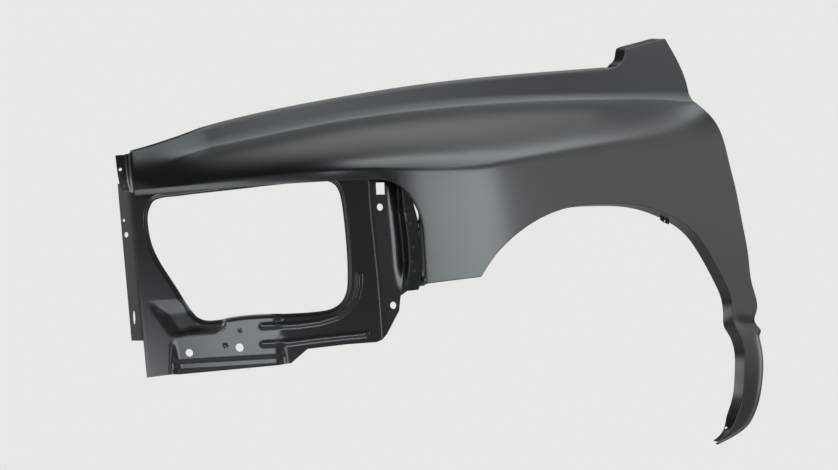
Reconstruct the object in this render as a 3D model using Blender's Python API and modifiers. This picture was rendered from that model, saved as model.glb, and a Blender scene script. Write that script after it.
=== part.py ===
"""Left front fender of a pickup truck, as one assembly of pressed steel sheet.

The outer skin is one pressing: hood wall, valley, crowned top, side, wheel arch and tail, with every
edge turned in.  A deep headlamp panel is spot-welded behind the nose.  x runs rearward, y inboard and
z up; the origin lies on the flat bolt pad of the hood rail, which carries the fender on the truck.
"""
from math import cos, pi, radians, sin

import bmesh
import bpy
import numpy as np
from mathutils import Matrix, Vector
from mathutils.geometry import delaunay_2d_cdt

# Sheet metal and its primer
SHEET = 0.0010
FIT_GAP = 0.0003
SKIN_COLOUR = (0.020, 0.022, 0.022)
INNER_COLOUR = (0.016, 0.017, 0.018)
SKIN_ROUGHNESS = 0.32
INNER_ROUGHNESS = 0.38

# Plan of the fender, measured from the crown of the wheel arch
NOSE_RUN = 1.062
TURN_START = 0.230
TURN_LENGTH = 0.670
NOSE_SWEEP = radians(68)
HOOD_NOSE_X = 0.767
HOOD_NOSE_Y = 0.526
HOOD_TAPER = 0.277
HOOD_RUN = 1.130
COWL_FLARE = 0.045
COWL_FLARE_RUN = 0.320

# Heights over the crown of the wheel arch
HOOD_HEIGHT = 0.326
VALLEY_HEIGHT = 0.256
CROWN_HEIGHT = 0.212

# Section of the skin
WALL_LEAN = 0.30
VALLEY_REACH = 0.020
VALLEY_WALL_SHARE = 0.4
SIDE_PULL_SHARE = 0.55
VALLEY_PULL_SHARE = 0.62
NOSE_CROWN_SHARE = 0.35
NOSE_VALLEY_SHARE = 0.62
SIDE_DROP = 0.085
TUMBLE = 0.030
TUMBLE_FOOT = 0.120
TUMBLE_RISE = 0.250
NOSE_FADE = 0.200
NOSE_DROP_SHARE = 0.38
SIDE_LEAST = 0.009
SIDE_START = 0.750
SIDE_FADE = 0.400
LIP_HEIGHT = 0.022
LIP_ROLL = 0.007
LIP_ROLL_RISE = 0.030
TAIL_DEPTH = 0.484
TAIL_TUCK = 0.034
TUCK_START = 0.250
EDGE_ROLL = 0.012
EDGE_ROLL_WIDTH = 0.055
PINCH_LEVEL = 0.236
PINCH_DEPTH = 0.004
PINCH_WIDTH = 0.014

# Rails of the section, as shares: along the hood run, or along the nose run, against their height
hood_shares = ((0.0, 0.325), (0.148, 0.488), (0.360, 0.663), (0.612, 0.822), (0.856, 0.933),
               (1.033, 1.0), (1.21, 1.058))
valley_shares = ((0.0, 0.273), (0.068, 0.383), (0.183, 0.508), (0.360, 0.680), (0.590, 0.840),
                 (0.856, 0.957), (1.033, 1.0), (1.21, 1.023))
crown_shares = ((-1.0, 0.236), (-0.80, 0.283), (-0.584, 0.377), (-0.414, 0.528), (-0.188, 0.708),
                (0.094, 0.896), (0.339, 1.0), (0.565, 1.061))
PLAN_SAMPLES = 6001
PLAN_SPAN = 2.0


def smooth(t):
    """Step from 0 to 1 with level ends."""
    t = np.clip(t, 0.0, 1.0)
    return t * t * (3.0 - 2.0 * t)


def spline(points, t):
    """Natural cubic curve through hand-set points, run on straight past its ends."""
    xs, ys = np.array(points, float).T
    h = np.diff(xs)
    n = len(xs)
    rows = np.eye(n)
    rise = np.zeros(n)
    for i in range(1, n - 1):
        rows[i, i - 1:i + 2] = h[i - 1], 2 * (h[i - 1] + h[i]), h[i]
        rise[i] = 6 * ((ys[i + 1] - ys[i]) / h[i] - (ys[i] - ys[i - 1]) / h[i - 1])
    c = np.linalg.solve(rows, rise)
    t = np.asarray(t, float)
    inside = np.clip(t, xs[0], xs[-1])
    k = np.clip(np.searchsorted(xs, inside) - 1, 0, n - 2)
    a = xs[k + 1] - inside
    b = inside - xs[k]
    hk = h[k]
    value = (c[k] * a ** 3 + c[k + 1] * b ** 3) / (6 * hk)
    value += (ys[k] / hk - c[k] * hk / 6) * a + (ys[k + 1] / hk - c[k + 1] * hk / 6) * b
    first = (ys[1] - ys[0]) / h[0] - h[0] * (2 * c[0] + c[1]) / 6
    last = (ys[-1] - ys[-2]) / h[-1] + h[-1] * (2 * c[-1] + c[-2]) / 6
    return value + np.minimum(t - xs[0], 0) * first + np.maximum(t - xs[-1], 0) * last


def plan_table():
    """The belt line in plan: its heading turns inboard at the nose by a smooth step."""
    u = np.linspace(-NOSE_RUN * PLAN_SPAN, NOSE_RUN * PLAN_SPAN, PLAN_SAMPLES)
    heading = NOSE_SWEEP * smooth((-TURN_START - u) / TURN_LENGTH)
    step = u[1] - u[0]
    dx = np.cos(heading)
    dy = -np.sin(heading)
    x = np.concatenate([[0.0], np.cumsum(dx[1:] + dx[:-1]) * step / 2])
    y = np.concatenate([[0.0], np.cumsum(dy[1:] + dy[:-1]) * step / 2])
    return u, x - x[-1] + u[-1], y - y[-1]


PLAN_U, PLAN_X, PLAN_Y = plan_table()


def belt(u):
    """Plan point of the belt line at station u, which is x wherever the side is straight."""
    return np.interp(u, PLAN_U, PLAN_X), np.interp(u, PLAN_U, PLAN_Y)


def hood_line(u):
    """Plan point of the hood line opposite station u; its stations close up round the nose."""
    turned = smooth((-TURN_START - u) / (NOSE_RUN - TURN_START))
    x = u + (NOSE_RUN - HOOD_NOSE_X) * turned
    flare = np.maximum(x + HOOD_NOSE_X - HOOD_RUN + COWL_FLARE_RUN / 2, 0) / COWL_FLARE_RUN
    return x, HOOD_NOSE_Y - HOOD_TAPER * (x + HOOD_NOSE_X) - COWL_FLARE * flare ** 2


def section(u):
    """Guide points of the section at station u, in its own plane as (inboard, height) pairs."""
    bx, by = belt(u)
    hx, hy = hood_line(u)
    reach = np.hypot(hx - bx, hy - by)
    along = (hx + HOOD_NOSE_X) / HOOD_RUN
    hood_z = HOOD_HEIGHT * spline(hood_shares, along)
    valley_z = VALLEY_HEIGHT * spline(valley_shares, along)
    crown_z = CROWN_HEIGHT * spline(crown_shares, u / NOSE_RUN)
    opened = smooth((u + NOSE_RUN) / NOSE_FADE)
    closed_z = hood_z - LIP_HEIGHT
    drop_share = NOSE_DROP_SHARE + (1 - NOSE_DROP_SHARE) * smooth((u + SIDE_START) / SIDE_FADE)
    over = crown_z - SIDE_DROP * drop_share - LIP_HEIGHT - SIDE_LEAST
    side_z = LIP_HEIGHT + SIDE_LEAST + (over + np.hypot(over, SIDE_LEAST)) / 2
    lean = np.maximum(side_z + TUMBLE_FOOT, 0) / TUMBLE_RISE
    side_h = TUMBLE * lean ** 2
    crown_h = side_h + 2 * TUMBLE * lean / TUMBLE_RISE * (crown_z - side_z)
    valley_h = reach - WALL_LEAN * (hood_z - valley_z)
    crown_h = opened * crown_h + (1 - opened) * reach * NOSE_CROWN_SHARE
    crown_z = opened * crown_z + (1 - opened) * (LIP_HEIGHT + closed_z * NOSE_CROWN_SHARE)
    valley_h = opened * valley_h + (1 - opened) * reach * NOSE_VALLEY_SHARE
    valley_z = opened * valley_z + (1 - opened) * (LIP_HEIGHT + closed_z * NOSE_VALLEY_SHARE)
    return {
        "belt": (bx, by), "way": ((hx - bx) / reach, (hy - by) / reach),
        "side": (side_h, side_z), "crown": (crown_h, crown_z),
        "valley": (valley_h, valley_z), "hood": (reach, hood_z),
    }


def section_levels(guide):
    """Running height w at which side, crowned top, valley fillet and hood wall end."""
    side_h, side_z = guide["side"]
    crown_h, crown_z = guide["crown"]
    valley_h, valley_z = guide["valley"]
    hood_h, hood_z = guide["hood"]
    wall = np.hypot(hood_h - valley_h, hood_z - valley_z)
    top = np.hypot(valley_h - crown_h, valley_z - crown_z)
    fillet = np.minimum(VALLEY_REACH, VALLEY_WALL_SHARE * wall)
    side_end = side_z
    top_end = side_end + top + crown_z - side_z - fillet
    fillet_end = top_end + 2 * fillet
    hood_end = fillet_end + wall - fillet
    return side_end, top_end, fillet_end, hood_end


def skin_point(u, w):
    """Point of the outer face at station u and running height w, which is z up the side.

    Up the section come a side that leans in with the square of its height, a cubic crown, a
    quadratic fillet in the valley and a straight hood wall, each level with the next.
    """
    u, w = np.broadcast_arrays(np.asarray(u, float), np.asarray(w, float))
    guide = section(u)
    side_end, top_end, fillet_end, hood_end = section_levels(guide)
    side_h, side_z = guide["side"]
    crown_h, crown_z = guide["crown"]
    valley_h, valley_z = guide["valley"]
    hood_h, hood_z = guide["hood"]
    fillet = (fillet_end - top_end) / 2
    top = np.hypot(valley_h - crown_h, valley_z - crown_z)
    wall = np.hypot(hood_h - valley_h, hood_z - valley_z)
    foot_h = valley_h - fillet * (valley_h - crown_h) / top
    foot_z = valley_z - fillet * (valley_z - crown_z) / top
    rise_h = valley_h + fillet * (hood_h - valley_h) / wall
    rise_z = valley_z + fillet * (hood_z - valley_z) / wall

    t = np.clip((w - side_end) / (top_end - side_end), 0, 1)
    pulls = (1 - t) ** 3, 3 * t * (1 - t) ** 2, 3 * t * t * (1 - t), t ** 3
    top_h = pulls[0] * side_h + pulls[1] * (side_h + SIDE_PULL_SHARE * (crown_h - side_h))
    top_h += pulls[2] * (foot_h - VALLEY_PULL_SHARE * (foot_h - crown_h)) + pulls[3] * foot_h
    top_z = pulls[0] * side_z + pulls[1] * (side_z + SIDE_PULL_SHARE * (crown_z - side_z))
    top_z += pulls[2] * (foot_z - VALLEY_PULL_SHARE * (foot_z - crown_z)) + pulls[3] * foot_z

    t = np.clip((w - top_end) / (fillet_end - top_end), 0, 1)
    bend_h = foot_h * (1 - t) ** 2 + 2 * valley_h * t * (1 - t) + rise_h * t * t
    bend_z = foot_z * (1 - t) ** 2 + 2 * valley_z * t * (1 - t) + rise_z * t * t

    t = (w - fillet_end) / (hood_end - fillet_end)
    wall_h = rise_h + (hood_h - rise_h) * t
    wall_z = rise_z + (hood_z - rise_z) * t

    tuck = np.maximum(-TUCK_START - w, 0) / (TAIL_DEPTH - TUCK_START)
    low_h = TUMBLE * (np.maximum(w + TUMBLE_FOOT, 0) / TUMBLE_RISE) ** 2 + TAIL_TUCK * tuck ** 2
    pinch = np.exp(-((w + PINCH_LEVEL) / PINCH_WIDTH) ** 2)
    low_h = low_h + PINCH_DEPTH * pinch * smooth(tail_share(u, w))
    low_h = low_h + EDGE_ROLL * smooth(edge_share(u, w)) ** 2

    h = np.where(w < side_end, low_h, np.where(w < top_end, top_h, np.where(w < fillet_end, bend_h, wall_h)))
    z = np.where(w < side_end, w, np.where(w < top_end, top_z, np.where(w < fillet_end, bend_z, wall_z)))
    under = np.maximum(LIP_HEIGHT + LIP_ROLL_RISE - z, 0) / LIP_ROLL_RISE
    h = h + LIP_ROLL * under ** 2 * smooth((-LAMP_EDGE - LAMP_CORNER_RUN / 2 - u) / LAMP_CORNER_RUN)
    bx, by = guide["belt"]
    wx, wy = guide["way"]
    return np.stack([bx + h * wx, by + h * wy, z], -1)


def door_edge(w):
    """Station of the door edge at running height w."""
    return spline(door_points, w)


def tail_share(u, w):
    """0 ahead of the tail, rising to 1 across its width."""
    return (u - door_edge(w) + 2 * EDGE_ROLL_WIDTH) / EDGE_ROLL_WIDTH


def edge_share(u, w):
    """0 to 1 over the strip beside the tail's rear edge, none above the pinch."""
    strip = (u - door_edge(w) + EDGE_ROLL_WIDTH) / EDGE_ROLL_WIDTH
    return strip * smooth((-PINCH_LEVEL - w) / (2 * PINCH_WIDTH))


# Outlines, as shares of these sizes
ARCH_REACH = 0.460
TAIL_WIDTH = 0.087
DOOR_RUN = ARCH_REACH + TAIL_WIDTH
SILL_DEPTH = 0.170
LAMP_EDGE = 0.520
LAMP_CORNER_RUN = 0.077
LAMP_CORNER_RISE = 0.097
COWL_WIDTH = 0.192
COWL_NOTCH = DOOR_RUN - COWL_WIDTH
COWL_RISE = 0.066
TOP_LEAN = 0.030
DOOR_LEVEL_SHARE = 1.6
COWL_MOUTH = 0.047

door_shares = ((-1.0, 0.797), (-0.971, 0.892), (-0.932, 0.980), (-0.880, 1.029), (-0.818, 1.055),
               (-0.746, 1.068), (-0.671, 1.073), (-0.612, 1.068), (-0.543, 1.049), (-0.508, 1.031),
               (-0.465, 0.987), (-0.424, 1.002), (-0.318, 0.982), (-0.178, 0.965), (-0.037, 0.949),
               (0.107, 0.945), (0.252, 0.943), (0.393, 0.949), (0.517, 0.923), (0.657, 0.932),
               (0.826, 0.920), (0.909, 0.905))
arch_shares = ((-0.870, -0.326), (-0.809, -0.264), (-0.670, -0.171), (-0.472, -0.089), (-0.230, -0.031),
               (0.039, -0.006), (0.270, 0.0), (0.539, -0.037), (0.722, -0.105), (0.837, -0.205),
               (0.935, -0.310), (0.983, -0.386), (0.998, -0.488), (1.041, -0.545), (1.070, -0.605),
               (1.074, -0.692), (1.070, -0.798), (1.041, -0.876), (1.0, -0.936), (0.946, -0.969),
               (0.896, -0.988))
mouth_shares = ((0.0, 0.0), (0.47, 0.02), (0.80, 0.16), (1.0, 0.42))
ARCH_FRONT_INDEX = 2
ARCH_REAR_INDEX = 8
door_points = np.array(door_shares) * (TAIL_DEPTH, DOOR_RUN)
arch_points = np.array(arch_shares) * (ARCH_REACH, TAIL_DEPTH)

# Mesh building
SETTLE_COUNT = 6
PULL_POWER = 4
TAIL_SAMPLE_COUNT = 8
NOSE_COLUMNS = 19
CORNER_COLUMNS = 3
FRONT_COLUMNS = 9
ARCH_COLUMNS = 16
REAR_COLUMNS = 8
TIP_START = 3
FRONT_ROWS = 8
TAIL_ROWS = 24
TIP_ROWS = 4
SIDE_ROWS = 4
TOP_ROWS = 6
FILLET_ROWS = 2
WALL_ROWS = 2
ROW_SHARE_SIDE = 0.30
ROW_SHARE_TOP = 0.80
ROW_SHARE_FILLET = 0.88


def through(points, count, first=0, last=None):
    """Evenly spaced points on a smooth curve through hand-set points, between two of its knots."""
    points = np.array(points, float)
    steps = np.hypot(*np.diff(points, axis=0).T)
    run = np.concatenate([[0.0], np.cumsum(steps)])
    last = len(points) - 1 if last is None else last
    t = np.linspace(run[first], run[last], count + 1)
    return np.stack([spline(list(zip(run, points[:, 0])), t), spline(list(zip(run, points[:, 1])), t)], -1)


def between(a, b, count):
    """Evenly spaced points on the straight line between two points."""
    t = np.linspace(0, 1, count + 1)[:, None]
    return np.array(a) * (1 - t) + np.array(b) * t


def coons(low, high, left, right):
    """Grid spanning four edge curves; low and high run along it, left and right across."""
    s = np.linspace(0, 1, len(low))[:, None, None]
    t = np.linspace(0, 1, len(left))[None, :, None]
    flat = (1 - t) * low[:, None] + t * high[:, None] + (1 - s) * left[None] + s * right[None]
    corner = (1 - s) * (1 - t) * low[0] + s * (1 - t) * low[-1] + (1 - s) * t * high[0] + s * t * high[-1]
    return flat - corner


def respaced(line, count):
    """Evenly spaced points along a dense polyline."""
    run = np.concatenate([[0.0], np.cumsum(np.linalg.norm(np.diff(line, axis=0), axis=1))])
    t = np.linspace(0, run[-1], count + 1)
    return np.stack([np.interp(t, run, column) for column in line.T], -1)


def lamp_arc(start, end, count):
    """Part of the elliptic upper rear corner of the lamp cut-out, between two angles."""
    angle = np.linspace(start, end, count + 1)
    u = -LAMP_EDGE - LAMP_CORNER_RUN + LAMP_CORNER_RUN * np.cos(angle)
    z = LIP_HEIGHT - LAMP_CORNER_RISE + LAMP_CORNER_RISE * np.sin(angle)
    return np.stack([u, z], -1)


def skin_blocks():
    """Stations and running heights of the four joined grids: body, front, tail and cowl tip."""
    upper_arc = lamp_arc(pi / 2, pi / 4, CORNER_COLUMNS)
    lower_arc = lamp_arc(pi / 4, 0, CORNER_COLUMNS * 4)
    lamp = respaced(np.concatenate([lower_arc, [[-LAMP_EDGE, -SILL_DEPTH]]]), FRONT_ROWS)
    front_top = between(lamp[0], arch_points[ARCH_FRONT_INDEX], FRONT_COLUMNS)
    arch = through(arch_points, ARCH_COLUMNS, ARCH_FRONT_INDEX, ARCH_REAR_INDEX)
    door_level = arch[-1][1] * DOOR_LEVEL_SHARE
    rear = between(arch[-1], (door_edge(door_level), door_level), REAR_COLUMNS)
    lip = between((-NOSE_RUN, LIP_HEIGHT), upper_arc[0], NOSE_COLUMNS - CORNER_COLUMNS)
    low = np.concatenate([lip, upper_arc[1:], front_top[1:], arch[1:], rear[1:]])
    first_rear = len(low) - 1 - REAR_COLUMNS
    tip = first_rear + TIP_START

    shares = np.concatenate([
        np.linspace(0, ROW_SHARE_SIDE, SIDE_ROWS + 1),
        np.linspace(ROW_SHARE_SIDE, ROW_SHARE_TOP, TOP_ROWS + 1)[1:],
        np.linspace(ROW_SHARE_TOP, ROW_SHARE_FILLET, FILLET_ROWS + 1)[1:],
        np.linspace(ROW_SHARE_FILLET, 1, WALL_ROWS + 1)[1:]])
    top_u = np.interp(low[:, 0], (-NOSE_RUN, arch[-1][0]), (-NOSE_RUN, arch[-1][0] - TOP_LEAN))
    top_u[first_rear:tip + 1] = np.linspace(top_u[first_rear], COWL_NOTCH, TIP_START + 1)
    door_top = COWL_NOTCH
    for _ in range(SETTLE_COUNT):
        door_top = float(door_edge(section_levels(section(np.array(door_top)))[3]))
    top_u[tip:] = np.linspace(COWL_NOTCH, door_top, REAR_COLUMNS - TIP_START + 1)

    def level(u, low_w):
        ends = section_levels(section(u))
        knots = [low_w + 0 * u, *ends]
        marks = (0.0, ROW_SHARE_SIDE, ROW_SHARE_TOP, ROW_SHARE_FILLET, 1.0)
        w = np.zeros_like(u)
        for k in range(4):
            here = (shares >= marks[k]) & (shares <= marks[k + 1])
            f = (shares - marks[k]) / (marks[k + 1] - marks[k])
            w = np.where(here, knots[k] + (knots[k + 1] - knots[k]) * f, w)
        return w

    u = low[:, :1] + (top_u - low[:, 0])[:, None] * shares[None]
    straight = u[-1].copy()
    door = straight.copy()
    for _ in range(SETTLE_COUNT):
        door = door_edge(level(door, door_level))
    pull = ((low[:, 0] + NOSE_RUN) / (low[-1, 0] + NOSE_RUN))[:, None] ** PULL_POWER
    u = u + pull * (door - straight)[None]
    body = np.stack([u, level(u, low[:, 1:2])], -1)

    sill_rear = arch_points[0]
    front = coons(between((-LAMP_EDGE, -SILL_DEPTH), sill_rear, FRONT_COLUMNS),
                  body[NOSE_COLUMNS:NOSE_COLUMNS + FRONT_COLUMNS + 1, 0], lamp[::-1],
                  through(arch_points, FRONT_ROWS, 0, ARCH_FRONT_INDEX))

    tail_in = through(arch_points, TAIL_ROWS, ARCH_REAR_INDEX)
    tail_w = np.linspace(0, 1, TAIL_ROWS * TAIL_SAMPLE_COUNT + 1)
    tail_w = door_level + (door_points[0][0] - door_level) * tail_w
    tail_out = respaced(np.stack([door_edge(tail_w), tail_w], -1), TAIL_ROWS)
    tail = coons(body[first_rear:, 0], between(tail_in[-1], tail_out[-1], REAR_COLUMNS), tail_in, tail_out)

    notch_w = body[tip, -1, 1]
    door_w = body[-1, -1, 1]
    mouth = np.array(mouth_shares) * (COWL_MOUTH, COWL_RISE) + (COWL_NOTCH, notch_w)
    door_tip = door_w + COWL_RISE
    tip_w = np.linspace(door_w, door_tip, TIP_ROWS + 1)
    crest = between(mouth[-1], (door_edge(door_tip), door_tip), REAR_COLUMNS - TIP_START)
    cowl = coons(body[tip:, -1], crest, through(mouth, TIP_ROWS), np.stack([door_edge(tip_w), tip_w], -1))
    return body, front, tail, cowl, first_rear, tip


# Turned edges: three bends each, as (outward along the face, inward from it)
arch_turn = ((0.0012, 0.003), (0.0008, 0.014), (0.0, 0.026))
lip_turn = ((0.0010, 0.003), (0.0006, 0.008), (0.0, 0.014))
lamp_turn = ((0.0010, 0.003), (0.0008, 0.0055), (0.0, 0.008))
weld_turn = ((0.0010, 0.003), (0.0040, 0.0065), (0.0160, 0.0155))
door_turn = ((0.0015, 0.003), (0.0015, 0.010), (0.0, 0.018))
cowl_turn = ((0.0030, 0.002), (0.0080, 0.009), (0.0150, 0.019))
hood_turn = ((0.0070, 0.007), (-0.0030, 0.011), (-0.0030, 0.038))
nose_turn = ((0.0090, 0.002), (0.0180, 0.012), (0.0290, 0.017))
SMALL_COLUMNS = 3
TIP_TAPER = 0.060
TIP_TURN_SHARE = 0.35

# Holes of the turned edges
RAIL_HOLE = 0.0050
SMALL_HOLE = 0.0032
PAD_INDEX = 35
RAIL_HOLE_STEPS = (0, -10, 12)
NOSE_HOLE_CELLS = (2, 7)
NOSE_NOTCH_ROWS = 2
TAIL_HOLE_SHARE = 0.909


def face_normal(u, w):
    """Unit normal of the outer face."""
    across = skin_point(u + SHEET / 4, w) - skin_point(u - SHEET / 4, w)
    up = skin_point(u, w + SHEET / 4) - skin_point(u, w - SHEET / 4)
    normal = np.cross(across, up)
    return normal / np.linalg.norm(normal, axis=-1)[..., None]


def turned_edge(points, uw, run, turns):
    """Adds the bends of a turned edge along a run of boundary vertices; returns the rows of the strip."""
    normal = face_normal(uw[run, 0], uw[run, 1])
    edge = points[run]
    tangent = np.gradient(edge, axis=0)
    outward = np.cross(tangent, normal)
    outward /= np.linalg.norm(outward, axis=1)[:, None]
    rows = [run]
    for k in range(turns.shape[1]):
        rows.append(len(points) + np.arange(len(run)))
        points = np.concatenate([points, edge + turns[:, k, :1] * outward - turns[:, k, 1:] * normal])
    return points, rows


def flange_hole(points, rows, cell, radius):
    """Centre, axis and radius of a hole in the last strip of a turned edge."""
    corners = points[[rows[2][cell], rows[2][cell + 1], rows[3][cell + 1], rows[3][cell]]]
    axis = np.cross(corners[2] - corners[0], corners[3] - corners[1])
    return corners.mean(axis=0), axis / np.linalg.norm(axis), radius


def skin_sheet():
    """Vertices and faces of the skin's outer face with its turned edges, its rail pad and its holes."""
    body, front, tail, cowl, first_rear, tip = skin_blocks()
    places = []
    faces = []

    def add(grid):
        base = len(places)
        places.extend(grid.reshape(-1, 2))
        return base + np.arange(grid.shape[0] * grid.shape[1]).reshape(grid.shape[:2])

    def quads(index):
        a, b = index[:-1, :-1].ravel(), index[1:, :-1].ravel()
        c, d = index[1:, 1:].ravel(), index[:-1, 1:].ravel()
        faces.extend(np.stack([a, b, c, d], -1).tolist())

    i_body = add(body)
    front_cols = slice(NOSE_COLUMNS, NOSE_COLUMNS + FRONT_COLUMNS + 1)
    i_front = np.concatenate([add(front[:, :-1]), i_body[front_cols, 0][:, None]], 1)
    i_tail = np.concatenate([i_body[first_rear:, 0][:, None], add(tail[:, 1:])], 1)
    i_cowl = np.concatenate([i_body[tip:, -1][:, None], add(cowl[:, 1:])], 1)
    quads(i_body)
    quads(i_front)
    quads(i_tail[:, ::-1])
    quads(i_cowl)

    corner = NOSE_COLUMNS - CORNER_COLUMNS
    front_edge = i_front[0, ::-1]
    below = (
        (i_body[:corner, 0], lip_turn), (i_body[corner:NOSE_COLUMNS, 0], lamp_turn),
        (front_edge[:SMALL_COLUMNS], lamp_turn), (front_edge[SMALL_COLUMNS:-1], weld_turn),
        (i_front[:-1, 0], arch_turn), (i_front[-1, :-1], arch_turn),
        (i_body[front_cols.stop - 1:first_rear, 0], arch_turn), (i_tail[0], arch_turn),
    )
    above = (
        (i_tail[-1, ::-1][:-1], door_turn), (i_body[-1, :-1], door_turn), (i_cowl[-1, :-1], door_turn),
        (i_cowl[::-1, -1][:-1], cowl_turn), (i_cowl[0, ::-1][:-1], cowl_turn),
        (i_body[:tip + 1, -1][::-1], hood_turn),
    )
    ahead = ((i_body[0, ::-1][:-NOSE_NOTCH_ROWS], nose_turn),)
    uw = np.array(places)
    points = skin_point(uw[:, 0], uw[:, 1])
    strips = []
    for sides in (below, above, ahead):
        run = np.concatenate([s for s, _ in sides])
        turns = np.concatenate([np.repeat([t], len(s), 0) for s, t in sides])
        padded = np.concatenate([turns[:1], turns, turns[-1:]])
        turns = (padded[:-2] + 2 * turns + padded[2:]) / 4
        away = np.abs(uw[run, 1] + TAIL_DEPTH) / TIP_TAPER
        turns = turns * (TIP_TURN_SHARE + (1 - TIP_TURN_SHARE) * smooth(away))[:, None, None]
        points, rows = turned_edge(points, uw, run, turns)
        strips.append(rows)
    low_strip, high_strip, nose_strip = strips
    pad = np.isin(high_strip[0], i_body[PAD_INDEX:PAD_INDEX + 3, -1])
    pad_rows = [row[pad] for row in high_strip[2:]]
    points[np.concatenate(pad_rows), 2] = points[pad_rows[0], 2].mean()
    for rows in strips:
        for inner, outer in zip(rows[:-1], rows[1:]):
            faces.extend(np.stack([inner[:-1], outer[:-1], outer[1:], inner[1:]], -1).tolist())

    first = int(np.flatnonzero(pad)[0])
    tail_hole = int(np.argmin(np.abs(uw[low_strip[0], 1] + TAIL_HOLE_SHARE * TAIL_DEPTH)))
    holes = [flange_hole(points, high_strip, first + step, RAIL_HOLE) for step in RAIL_HOLE_STEPS]
    holes.append(flange_hole(points, low_strip, tail_hole, SMALL_HOLE))
    holes.extend(flange_hole(points, nose_strip, cell, SMALL_HOLE) for cell in NOSE_HOLE_CELLS)
    return points, faces, points[np.concatenate(pad_rows)].mean(axis=0), holes


# Headlamp panel: a runs outboard across its plane, b is height, depth runs inward from the plane
PANEL_X = -0.7627
PANEL_Y = 0.5016
PANEL_HEADING = radians(63.43)
PANEL_RUN = 0.500
PANEL_CELL = 0.012
FLANGE_SLOPE = 0.40
FOLD_SLOPE = 0.55
TROUGH_DEPTH = 0.014
PLATE_TILT = 0.25
PLATE_STEP = 0.004
FUNNEL_DEPTH = 0.005
BEAD_HEIGHT = 0.0026
BEAD_HALF = 0.0075
RIM_DEPTH = 0.003
RIM_WIDTH = 0.008

# Its outline and opening as (a, b), its fold lines as (b, a), all as shares of the panel run
panel_shares = ((-0.114, 0.100), (-0.112, 0.046), (-0.084, -0.484), (-0.032, -0.488), (-0.024, -0.624),
                (0.068, -0.618), (0.494, -0.604), (0.524, -0.602), (0.588, -0.554), (0.730, -0.546),
                (0.848, -0.544), (0.868, -0.536), (0.884, -0.516), (0.927, -0.434), (0.934, -0.380),
                (0.957, -0.364), (0.999, -0.362), (1.010, -0.334), (1.012, -0.160), (1.010, -0.120),
                (1.004, -0.086), (0.996, -0.062), (0.988, -0.040), (0.982, -0.022), (0.974, 0.0),
                (0.962, 0.024), (0.944, 0.052), (0.920, 0.092))
opening_shares = ((0.180, 0.040), (0.096, 0.036), (0.046, 0.032), (0.024, 0.022), (0.012, 0.004),
                  (0.002, -0.030), (0.002, -0.066), (0.016, -0.142), (0.062, -0.236), (0.120, -0.332),
                  (0.154, -0.390), (0.176, -0.414), (0.204, -0.426), (0.240, -0.429), (0.318, -0.422),
                  (0.480, -0.420), (0.640, -0.420), (0.688, -0.412), (0.722, -0.390), (0.741, -0.356),
                  (0.748, -0.310), (0.748, -0.158), (0.740, -0.040), (0.732, 0.006), (0.716, 0.036),
                  (0.686, 0.052), (0.640, 0.055), (0.480, 0.051), (0.330, 0.045), (0.180, 0.040))
side_fold_shares = ((-0.60, 0.870), (-0.428, 0.866), (-0.312, 0.862), (-0.208, 0.856), (-0.080, 0.848),
                    (0.028, 0.846), (0.110, 0.844))
brow_shares = ((-0.60, 0.958), (-0.372, 0.942), (-0.342, 0.928), (-0.278, 0.922), (-0.174, 0.918),
               (-0.070, 0.912), (0.012, 0.912), (0.110, 0.910))
trough_shares = ((-0.60, 0.962), (-0.372, 0.944), (-0.330, 0.945), (-0.260, 0.945), (-0.176, 0.943),
                 (-0.080, 0.936), (0.110, 0.932))
crest_shares = ((-0.60, 0.966), (-0.372, 0.946), (-0.316, 0.962), (-0.258, 0.968), (-0.178, 0.968),
                (-0.096, 0.960), (-0.026, 0.952), (0.110, 0.950))
weld_depth_shares = ((-0.40, 0.046), (-0.150, 0.046), (-0.112, 0.0456), (-0.090, 0.0436),
                     (-0.076, 0.0420), (-0.050, 0.048), (-0.030, 0.051), (0.110, 0.051))
nose_fold_shares = ((-0.62, -0.024), (0.110, -0.064))
plate_top_shares = ((0.060, -0.500), (0.094, -0.486), (0.144, -0.476), (0.254, -0.470), (0.276, -0.450),
                    (0.290, -0.390), (0.60, -0.390))
upper_bead_shares = ((0.424, -0.462), (0.556, -0.464), (0.640, -0.458), (0.706, -0.442),
                     (0.748, -0.416), (0.776, -0.380), (0.790, -0.336), (0.792, -0.298))
lower_bead_shares = ((0.420, -0.526), (0.524, -0.526), (0.642, -0.518), (0.732, -0.514), (0.806, -0.512))

# Holes as (a, b, half width, half height, straight sides) shares
panel_hole_shares = ((-0.094, -0.038, 0.005, 0.006, 0), (-0.086, -0.092, 0.009, 0.010, 0),
                     (-0.068, -0.400, 0.005, 0.026, 0), (0.138, -0.542, 0.014, 0.014, 0),
                     (0.330, -0.534, 0.015, 0.015, 0), (0.882, 0.012, 0.014, 0.022, 1),
                     (0.878, -0.056, 0.010, 0.013, 0), (0.908, -0.414, 0.010, 0.013, 0))
HOLE_POINTS = 16
OPENING_POINTS = 64
CUTTER_DEPTH = 0.012

# Where the pressed features of the panel start and how wide they fade, as shares of its run
hollow_fade_share = 0.12
plate_start_share, plate_start_fade_share = 0.070, 0.024
plate_end_share, plate_end_fade_share = 0.512, 0.050
plate_rise_share, plate_rise_fade_share = 0.012, 0.030
plate_hinge_share = -0.490
step_shares = (-0.566, -0.600)
step_fade_share = 0.012
funnel_foot_share, funnel_level_share, funnel_slope_share = 0.018, 0.350, 0.70
funnel_side_fade_share = 0.050
funnel_end_share, funnel_end_fade_share = 0.270, 0.100
funnel_top_share, funnel_top_fade_share = -0.340, 0.060


def table(shares, t):
    """Straight-line reading of a share table."""
    xs, ys = np.array(shares).T
    return np.interp(t, xs, ys)


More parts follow.
